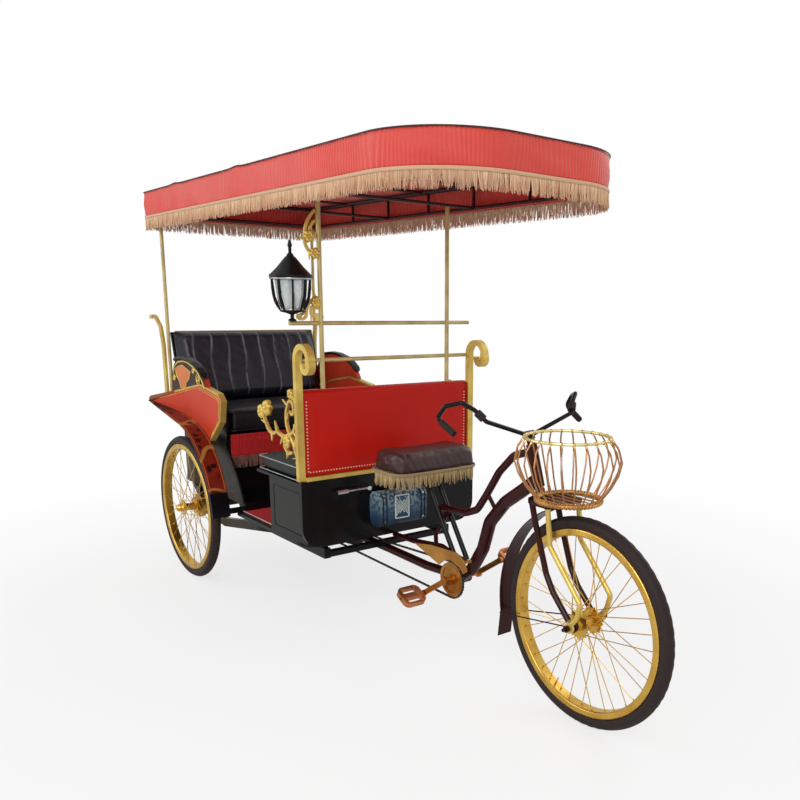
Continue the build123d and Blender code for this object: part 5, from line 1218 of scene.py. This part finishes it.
braid_tan = yarn(dye(236, 200, 160), dye(208, 166, 128), HEM_Z - 0.02, HEM_Z + 0.01)
braid_yarn = finish("braid_yarn", {"Sheen Weight": 0.3}, braid_tan)
canopy_braid = weave_braid(
    "canopy_braid", canopy_edge, EDGE_LENGTH, HEM_Z - 0.006, BRAID_HEIGHT, braid_yarn
)
cover_area / 2.0

# Lantern: a carriage lamp of black lacquered castings with bowed bars over clear ribbed glass. It has
# bright tin rings under its roof and at its foot, and stands on a stem on the upper rail.
EAVE_Z, EAVE_R, BULB_Z, BULB_HEIGHT = 1.452, 0.079, 1.3395, 0.062
# Columns: name, height, radius of the ring, radius of its wire
TIN_RINGS = [("eave", EAVE_Z - 0.0015, EAVE_R - 0.005, 0.0046), ("foot", 1.3385, 0.040, 0.0030)]
# Columns: distance from the lamp's middle, height
BAR_PROFILE = [
    (0.0280, 1.3305), (0.0400, 1.3335), (0.0520, 1.350), (0.0610, 1.368), (0.0660, 1.390), (0.0690, 1.415),
    (0.0700, 1.450),
]
BAR_RADIUS, BARS, KNOBS = 0.0040, 8, 16
lamp_low, lamp_high = (Vector(c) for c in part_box("lantern"))
LAMP_X, LAMP_Y = (lamp_low.x + lamp_high.x) / 2, (lamp_low.y + lamp_high.y) / 2
CASTING = ("chassis", finishes["lantern_black"], "lantern_black")


def ribbed_glass(place):
    flute = clouds(place, 60.0, 2.0)
    # The glass is darker in patches and towards its top.
    darker_patches_and_top = clouds(place, 14.0, 3.0) * 0.7 + rise(axis(place, "Z"), 1.35, 1.45, 0.0, 0.25)
    return {
        "Base Color": darker_patches_and_top.mix(dye(238, 244, 242), dye(150, 172, 174)),
        "Alpha": flute * 0.3 + 0.42,
        "Normal": bumps(flute, 0.3, 0.002),
    }


def lamp_round(radius, turn, z):
    return (LAMP_X + radius * math.cos(turn), LAMP_Y + radius * math.sin(turn), z)


clear_glass = {"Roughness": 0.12, "Coat Weight": 0.6, "Coat Roughness": 0.04}
paint("lantern_glass", finish("ribbed_glass", clear_glass, ribbed_glass))
tin = finish("tin_ring", METAL, gold_leaf(dye(218, 222, 222), dye(150, 156, 158), 0.3))
for name, z, radius, wire in TIN_RINGS:
    circle = [lamp_round(radius, k * math.pi / 24, z) for k in range(48)]
    tube("lantern_ring_" + name, circle, wire, "chassis", tin, "bright_steel", closed=True)
for k in range(BARS):
    bowed = [lamp_round(radius, math.radians(22.5 + 45 * k), z) for radius, z in BAR_PROFILE]
    tube("lantern_bar_%d" % k, bowed, BAR_RADIUS, *CASTING)
knob_places = [
    pose_to(lamp_round(EAVE_R - 0.003, k * math.pi / 8, EAVE_Z + 0.0085), (0, 0, 1), (0.0032, 0.0032, 0.0050))
    for k in range(KNOBS)
]
repeat_piece("lantern_cresting", ball(10, 7), knob_places, *CASTING)
candle = peg(20, 0.016, 0.013, BULB_HEIGHT)
bmesh.ops.translate(candle, verts=candle.verts, vec=(LAMP_X, LAMP_Y, BULB_Z + BULB_HEIGHT / 2))
milk = finish("milk_glass", {"Roughness": 0.4}, enamel(dye(248, 246, 236), dye(226, 222, 206), 0.4))
mesh_piece("lantern_bulb", candle, "chassis", milk, "lantern_glass")

# Lamp bracket: forged scrolls between the post and the lamp, with gilt leaves and cast flowers on
# them. They are fixed to the post.
# Columns: y and z of the stalk, direction in degrees, length
BRACKET_LEAVES = [
    (-0.362, 1.605, 200, 0.040), (-0.345, 1.553, 260, 0.036), (-0.352, 1.362, 160, 0.042),
    (-0.372, 1.330, 215, 0.040), (-0.386, 1.304, 130, 0.036), (-0.334, 1.350, 60, 0.034),
    (-0.328, 1.390, 100, 0.036), (-0.400, 1.318, 20, 0.030), (-0.345, 1.312, 260, 0.032),
    (-0.350, 1.585, 30, 0.034),
]
# Columns: y, z, radius
BRACKET_FLOWERS = [(-0.3263, 1.545, 0.022), (-0.348, 1.606, 0.024), (-0.3263, 1.366, 0.022)]
bracket_low, bracket_high = (Vector(c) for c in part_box("lamp_bracket"))
bracket_x = (bracket_low.x + bracket_high.x) / 2
bracket_places, bracket_petals = [], []
for y, z, degrees, length in BRACKET_LEAVES:
    turn = math.radians(degrees)
    along = Vector((0.25 * math.sin(7 * turn), math.cos(turn), math.sin(turn)))
    stalk = Vector((bracket_x, y, z))
    bracket_places.append(leaf_pose(stalk, along, length, 0.4, (0.14, 0.22, 0.56), (1, 0.2, 0.1)))
for y, z, radius in BRACKET_FLOWERS:
    for k in range(6):
        turn = math.radians(60 * k + 10)
        across, above = math.cos(turn), math.sin(turn)
        spot = (bracket_x + 0.008, y + 0.6 * radius * across, z + 0.6 * radius * above)
        petal_size = (0.45 * radius, 0.45 * radius, 0.3 * radius)
        bracket_petals.append(pose_to(spot, (1, 0.3 * across, 0.3 * above), petal_size))
repeat_piece("bracket_leaves", leaf_shape(), bracket_places, *GILT)
repeat_piece("bracket_petals", ball(10, 6), bracket_petals, *GILT)

# Saddle: a wide bench of dark brown leather cloth over a board, low in the middle, with folds at its
# corners. A tan braid is tacked along its edge, and an uneven tan fringe hangs below it.
SADDLE_CORNER, EDGE_INSET, FRINGE_INSET = 0.055, 0.001, 0.0055
saddle_low, saddle_high = (Vector(c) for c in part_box("saddle"))
saddle_mid, saddle_size = (saddle_low + saddle_high) / 2, saddle_high - saddle_low
brown_leather = finish(
    "brown_leather", {"Specular IOR Level": 0.4, "Coat Weight": 0.1, "Coat Roughness": 0.25},
    leather(dye(42, 22, 20), dye(80, 58, 56), 0.36, 320.0),
)


def in_saddle(spot):
    """A place in the saddle, from -1 to 1 along each axis."""
    return [(spot - saddle_mid)[k] / (saddle_size[k] / 2) for k in range(3)]


bench = pillow(saddle_size - Vector((0.008, 0.008, 0.008)), saddle_mid, 0.006, 0.02, cuts=26)
for vert in bench.verts:
    x, y, z = in_saddle(vert.co)
    near_end, near_side = max(0.0, abs(x) - 0.45) / 0.55, max(0.0, abs(y) - 0.62) / 0.38
    rounded = max(0.0, math.hypot(near_end, near_side) - 0.62)
    lift = (z + 1) / 2
    vert.co.z -= lift * (0.010 * (1 - y * y) + 0.050 * rounded ** 2 + 0.008 * max(0.0, x) ** 2)
    squeeze = 1 - 0.16 * rounded * (0.4 + 0.6 * lift)
    vert.co.x = saddle_mid.x + (vert.co.x - saddle_mid.x) * squeeze
    vert.co.y = saddle_mid.y + (vert.co.y - saddle_mid.y) * squeeze
saddle_bench = mesh_piece(
    "saddle_bench", bench, "chassis", brown_leather, "brown_leather", stands_for=["saddle"]
)
stuff(saddle_bench, 0.006, 0.007)
for vert in saddle_bench.data.vertices:
    x, y, z = in_saddle(vert.co)
    band = math.exp(-((z + 0.15) / 0.5) ** 2)
    fold = math.sin(34 * y + 9 * x + 5 * z) * math.sin(11 * y + 2.0) + 0.6 * math.sin(61 * y - 13 * z)
    vert.co += Vector((x, 0.4 * y, 0)).normalized() * (0.0016 * band * fold)


def saddle_rim(inset):
    """The saddle's lower edge, drawn in by inset."""
    reach_x, reach_y = (saddle_size[k] / 2 - inset - SADDLE_CORNER for k in range(2))
    return rounded_edge([
        (saddle_mid.x + reach_x * x, saddle_mid.y + reach_y * y, SADDLE_CORNER, enter)
        for x, y, enter in ((1, -1, -90), (1, 1, 0), (-1, 1, 90), (-1, -1, 180))
    ])


saddle_edge, SADDLE_ROUND = saddle_rim(EDGE_INSET)
tassel_edge = saddle_rim(FRINGE_INSET)[0]
tassel_low, tassel_high = (Vector(c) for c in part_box("saddle_fringe"))
tassel = yarn(dye(206, 184, 132), dye(140, 112, 72), tassel_low.z - 0.004, tassel_high.z)
saddle_yarn = finish("saddle_yarn", {"Sheen Weight": 0.3}, tassel)
hang_fringe(
    "saddle_strands", tassel_edge, SADDLE_ROUND, tassel_high.z + 0.001, tassel_high.z - tassel_low.z + 0.001,
    0.0050, 2, saddle_yarn, 23, "saddle_fringe", ragged=0.38,
)
edge_tan = yarn(dye(200, 174, 122), dye(150, 124, 84), saddle_low.z - 0.004, saddle_low.z + 0.012)
edge_yarn = finish("saddle_braid", {"Sheen Weight": 0.3}, edge_tan)
weave_braid("saddle_braid", saddle_edge, SADDLE_ROUND, saddle_low.z - 0.003, 0.011, edge_yarn)

# Motor: a round blue-grey case with dark ends and cast ribs, and a white vent with slanting holes in
# front. It is bolted to the kick panel.
CASE_CORNER, CASE_RIB = 0.038, 0.0026
VENT_WIDTH, VENT_HEIGHT, VENT_SHIFT, VENT_BAR, SLAT = 0.066, 0.096, 0.008, 0.0040, 0.0030
SLAT_LEAN, SLAT_STEP = (0.64, 0.77), 0.0105
motor_low, motor_high = (Vector(c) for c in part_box("motor"))
motor_mid, motor_size = (motor_low + motor_high) / 2, motor_high - motor_low


def motor_enamel(place):
    cloud = clouds(place, 15.0, 6.0, Roughness=0.7)
    grime = clouds(place, 48.0, 4.0)
    height = axis(place, "Z")
    shaded = rise(height, motor_low.z, motor_mid.z + 0.02, -0.45, 0.3)
    upper = rise(height, motor_mid.z - 0.03, motor_high.z)
    speck = mask(clouds(place, 78.0, 2.0), (0.48, 0), (0.56, 1))
    paint_tint = (cloud + shaded + grime * 0.3).mix(dye(12, 18, 30), dye(62, 92, 120))
    return {
        "Base Color": (speck * upper * 0.85).mix(paint_tint, dye(164, 182, 180)),
        "Roughness": grime * 0.3 + 0.3,
        "Normal": bumps(grime, 0.2, 0.001),
    }


def motor_face(dz):
    """How far ahead the motor's rounded front is at dz above its middle."""
    over = max(0.0, abs(dz) - (motor_size.z / 2 - CASE_CORNER))
    return motor_high.x - CASE_CORNER + math.sqrt(max(0.0, CASE_CORNER ** 2 - over ** 2))


paint("motor", finish("motor_case", LACQUER, motor_enamel))
for k, y in enumerate((motor_low.y + 0.012, motor_low.y + 0.030, motor_high.y - 0.030, motor_high.y - 0.012)):
    heights = [step * 0.005 - 0.068 for step in range(28)]
    line = [(motor_face(dz) + 0.0006, y, motor_mid.z + dz) for dz in heights]
    tube("motor_rib_%d" % k, line, CASE_RIB, "chassis", finishes["lantern_black"], "motor_blue")
vent_white = finish("vent_white", {}, enamel(dye(232, 240, 232), dye(188, 202, 198), 0.45))
slat = bmesh.new()
bmesh.ops.create_cube(slat, size=1.0)
vent_mid = Vector((motor_face(0) + 0.0022, motor_mid.y - 0.012, motor_mid.z + VENT_SHIFT))
slats = []
for offset, slant in [(k * SLAT_STEP, slant) for k in range(-2, 3) for slant in (-1, 1)]:
    reach = (VENT_WIDTH / 2 - abs(offset)) / SLAT_LEAN[0]
    if reach > 0.008:
        along = Vector((0, slant * SLAT_LEAN[0], SLAT_LEAN[1]))
        slat_size = (SLAT, SLAT, min(2 * reach, VENT_HEIGHT * 1.2))
        slats.append(pose_to(vent_mid + Vector((0, offset, 0)), along, slat_size, up=(1, 0, 0)))
for side in (-0.5, 0.5):
    upright = vent_mid + Vector((0, side * VENT_WIDTH, 0))
    slats.append(pose_to(upright, (0, 0, 1), (VENT_BAR, VENT_BAR, VENT_HEIGHT)))
for side in (-0.5, 0.5):
    cross = vent_mid + Vector((0, 0, side * VENT_HEIGHT))
    slats.append(pose_to(cross, (0, 1, 0), (VENT_BAR, VENT_BAR, VENT_WIDTH)))
repeat_piece("motor_vent", slat, slats, "chassis", vent_white, "motor_blue", smooth=False)
bolt_places = [
    pose_to((motor_face(dz) + 0.001, y, motor_mid.z + dz), (1, 0, 0.5 * dz / 0.06))
    for dz in (-0.050, 0.052) for y in (motor_low.y + 0.021, motor_high.y - 0.021)
]
STEEL = ("chassis", finishes["bright_steel"], "bright_steel")
repeat_piece("motor_bolts", peg(6, 0.0055, 0.0050, 0.005), bolt_places, *STEEL, smooth=False)

# Chain: rollers between inner and outer link plates, 12.7 mm apart. It runs from the chain ring over an
# idler under the floor to the cog on the rear axle.
CRANK_X, CRANK_Z, CHAIN_Y, RING_RADIUS = 1.625, 0.335, -0.050, 0.072
AXLE_Z, COG_RADIUS = 0.355, 0.060
OVER_IDLER = [(1.200, 0.381), (0.430, 0.385)]
LINK, ROLLER_RADIUS, ROLLER_WIDTH, PLATE_RADIUS, PLATE_THICK = 0.0127, 0.0038, 0.0070, 0.0042, 0.0009
OUTER_Y, INNER_Y = 0.0036, 0.0025
half_turns = [k * math.pi / 20 for k in range(1, 21)]
chain_path = [(0.0, AXLE_Z - COG_RADIUS), (CRANK_X, CRANK_Z - RING_RADIUS)]
chain_path += [(CRANK_X + RING_RADIUS * math.sin(t), CRANK_Z - RING_RADIUS * math.cos(t)) for t in half_turns]
chain_path += OVER_IDLER + [(0.0, AXLE_Z + COG_RADIUS)]
chain_path += [(-COG_RADIUS * math.sin(t), AXLE_Z + COG_RADIUS * math.cos(t)) for t in half_turns]
stops = walk(chain_path, LINK)
CHAIN_STEEL = ("chassis", finishes["chain_steel"], "chain_steel")
roller_places = [pose_to((REAR_X + p.x, CHAIN_Y, p.y), (0, 1, 0)) for p in stops]
roller = peg(8, ROLLER_RADIUS, ROLLER_RADIUS, ROLLER_WIDTH)
repeat_piece("chain_rollers", roller, roller_places, *CHAIN_STEEL, stands_for=["chain"])
link = bmesh.new()
bmesh.ops.create_circle(link, cap_ends=True, segments=12, radius=PLATE_RADIUS)
for vert in link.verts:
    vert.co.x += LINK / 2 * (1 if vert.co.x > 0.0001 else -1 if vert.co.x < -0.0001 else 0)
    if abs(vert.co.x) < 0.001:
        vert.co.y *= 0.72
raised = bmesh.ops.extrude_face_region(link, geom=link.faces[:])["geom"]
raised_verts = [g for g in raised if isinstance(g, bmesh.types.BMVert)]
bmesh.ops.translate(link, verts=raised_verts, vec=(0, 0, PLATE_THICK))
links = []
for k, (first, second) in enumerate(zip(stops, stops[1:] + stops[:1])):
    if (second - first).length > 0.02:
        continue
    ahead = Vector((second.x - first.x, 0, second.y - first.y)).normalized()
    middle = Vector((REAR_X + (first.x + second.x) / 2, CHAIN_Y, (first.y + second.y) / 2))
    turn = Matrix((ahead, Vector((0, 1, 0)).cross(ahead), Vector((0, 1, 0)))).transposed().to_4x4()
    for side in (-1, 1):
        face_y = side * (OUTER_Y if k % 2 else INNER_Y) - PLATE_THICK / 2
        links.append(Matrix.Translation(middle + Vector((0, face_y, 0))) @ turn)
repeat_piece("chain_links", link, links, *CHAIN_STEEL, smooth=False)

# Basket: brass rope of two strands is wound on its foot ring, and the wires' ends are lashed round its
# top ring. It is clamped to the fork's crown and turns with it.
BASKET_X, FOOT_Z, FOOT_RING, FOOT_WIRE = REAR_X + 2.178, 0.7523, 0.104, 0.0080
TOP_Z, TOP_RING, TOP_LEAN = 0.955, 0.140, 0.014
ROPE_STEPS, ROPE_TWISTS, STRAND_RADIUS = 600, 27, 0.0034
LASHINGS, LASHING_RADIUS, LASHING_LENGTH = 24, 0.0064, 0.0070


def wire_gold(place):
    """Pale brass on the top ring, darker and redder down the wires."""
    rub = clouds(place, 40.0, 3.0)
    ring = rise(axis(place, "Z"), TOP_Z - 0.012, TOP_Z - 0.006)
    wires = rub.mix(dye(146, 92, 58), dye(206, 150, 96))
    return {"Base Color": ring.mix(wires, dye(240, 228, 160)), "Roughness": rub * 0.2 + 0.3}


paint("basket", finish("basket_gold", {"Metallic": 0.7}, wire_gold))
rope = finish("brass_rope", {"Metallic": 0.85}, gold_leaf(dye(226, 178, 98), dye(168, 112, 52), 0.34))
for strand in (0, 1):
    wound = []
    for k in range(ROPE_STEPS):
        turn = 2 * math.pi * k / ROPE_STEPS
        twist = ROPE_TWISTS * turn + strand * math.pi
        reach = FOOT_RING + FOOT_WIRE * 0.86 * math.cos(twist)
        z = FOOT_Z + FOOT_WIRE * 0.86 * math.sin(twist)
        wound.append((BASKET_X + reach * math.cos(turn), reach * math.sin(turn), z))
    name = "basket_rope_%d" % strand
    tube(name, wound, STRAND_RADIUS, "steering", rope, "brass_wire", closed=True, sides=2)
lashings = []
for k in range(LASHINGS):
    turn = math.radians((k + 0.5) * 360 / LASHINGS)
    spot = (BASKET_X - TOP_LEAN + TOP_RING * math.cos(turn), TOP_RING * math.sin(turn), TOP_Z)
    lashings.append(pose_to(spot, (-math.sin(turn), math.cos(turn), 0)))
lashing = peg(10, LASHING_RADIUS, LASHING_RADIUS, LASHING_LENGTH)
repeat_piece("basket_lashings", lashing, lashings, "steering", finishes["brass_wire"], "brass_wire")

# Grips: black rubber sleeves with raised rings and a round end, pushed over the bar's ends. Shorter
# sleeves cover the bar beside the stem.
RING_PITCH = 0.0062
# Columns: start and end of a sleeve, plain stretch at each of them, radius of its rings
GRIP_RUNS = [
    ((1.864, 0.300, 1.006), (1.945, 0.290, 0.962), 0.024, 0.002, 0.0115),
    ((1.990, 0.196, 1.001), (1.966, 0.226, 1.038), 0.014, 0.012, 0.0138),
]
grip_rings = []
for side in (-1, 1):
    for first, second, skip, stop, radius in GRIP_RUNS:
        first, second = (Vector((REAR_X + x, side * y, z)) for x, y, z in (first, second))
        ahead = (second - first).normalized()
        for k in range(int(((second - first).length - skip - stop) / RING_PITCH)):
            spot = first + ahead * (skip + 0.004 + k * RING_PITCH)
            grip_rings.append(pose_to(spot, ahead, (radius, radius, 1)))
repeat_piece("grip_rings", peg(14, 1.0, 1.0, 0.003), grip_rings, "steering", finishes["rubber"], "rubber")

# Pedals: each copper-toned cage holds two dark rubber treads with cross grooves, and its ends are
# riveted. The cage turns on the crank's pin.
PEDAL_TILT, RIVET_SIZE, RIVET_LIFT = math.radians(28.0), (0.0034, 0.0034, 0.0022), 0.0110
pedal_ahead = Vector((math.cos(PEDAL_TILT), 0, -math.sin(PEDAL_TILT)))
pedal_up = Vector((math.sin(PEDAL_TILT), 0, math.cos(PEDAL_TILT)))
for pedal in ("right_pedal", "left_pedal"):
    cage_low, cage_high = (Vector(c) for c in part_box(pedal))
    cage_mid = (cage_low + cage_high) / 2
    spots = [
        cage_mid + pedal_ahead * along + Vector((0, across, 0)) + pedal_up * RIVET_LIFT
        for along in (-0.037, 0.037) for across in (-0.030, -0.010, 0.010, 0.030)
    ]
    rivets = [pose_to(spot, pedal_up, RIVET_SIZE) for spot in spots]
    repeat_piece(pedal + "_rivets", ball(8, 5), rivets, pedal, finishes["copper_plate"], "copper_plate")
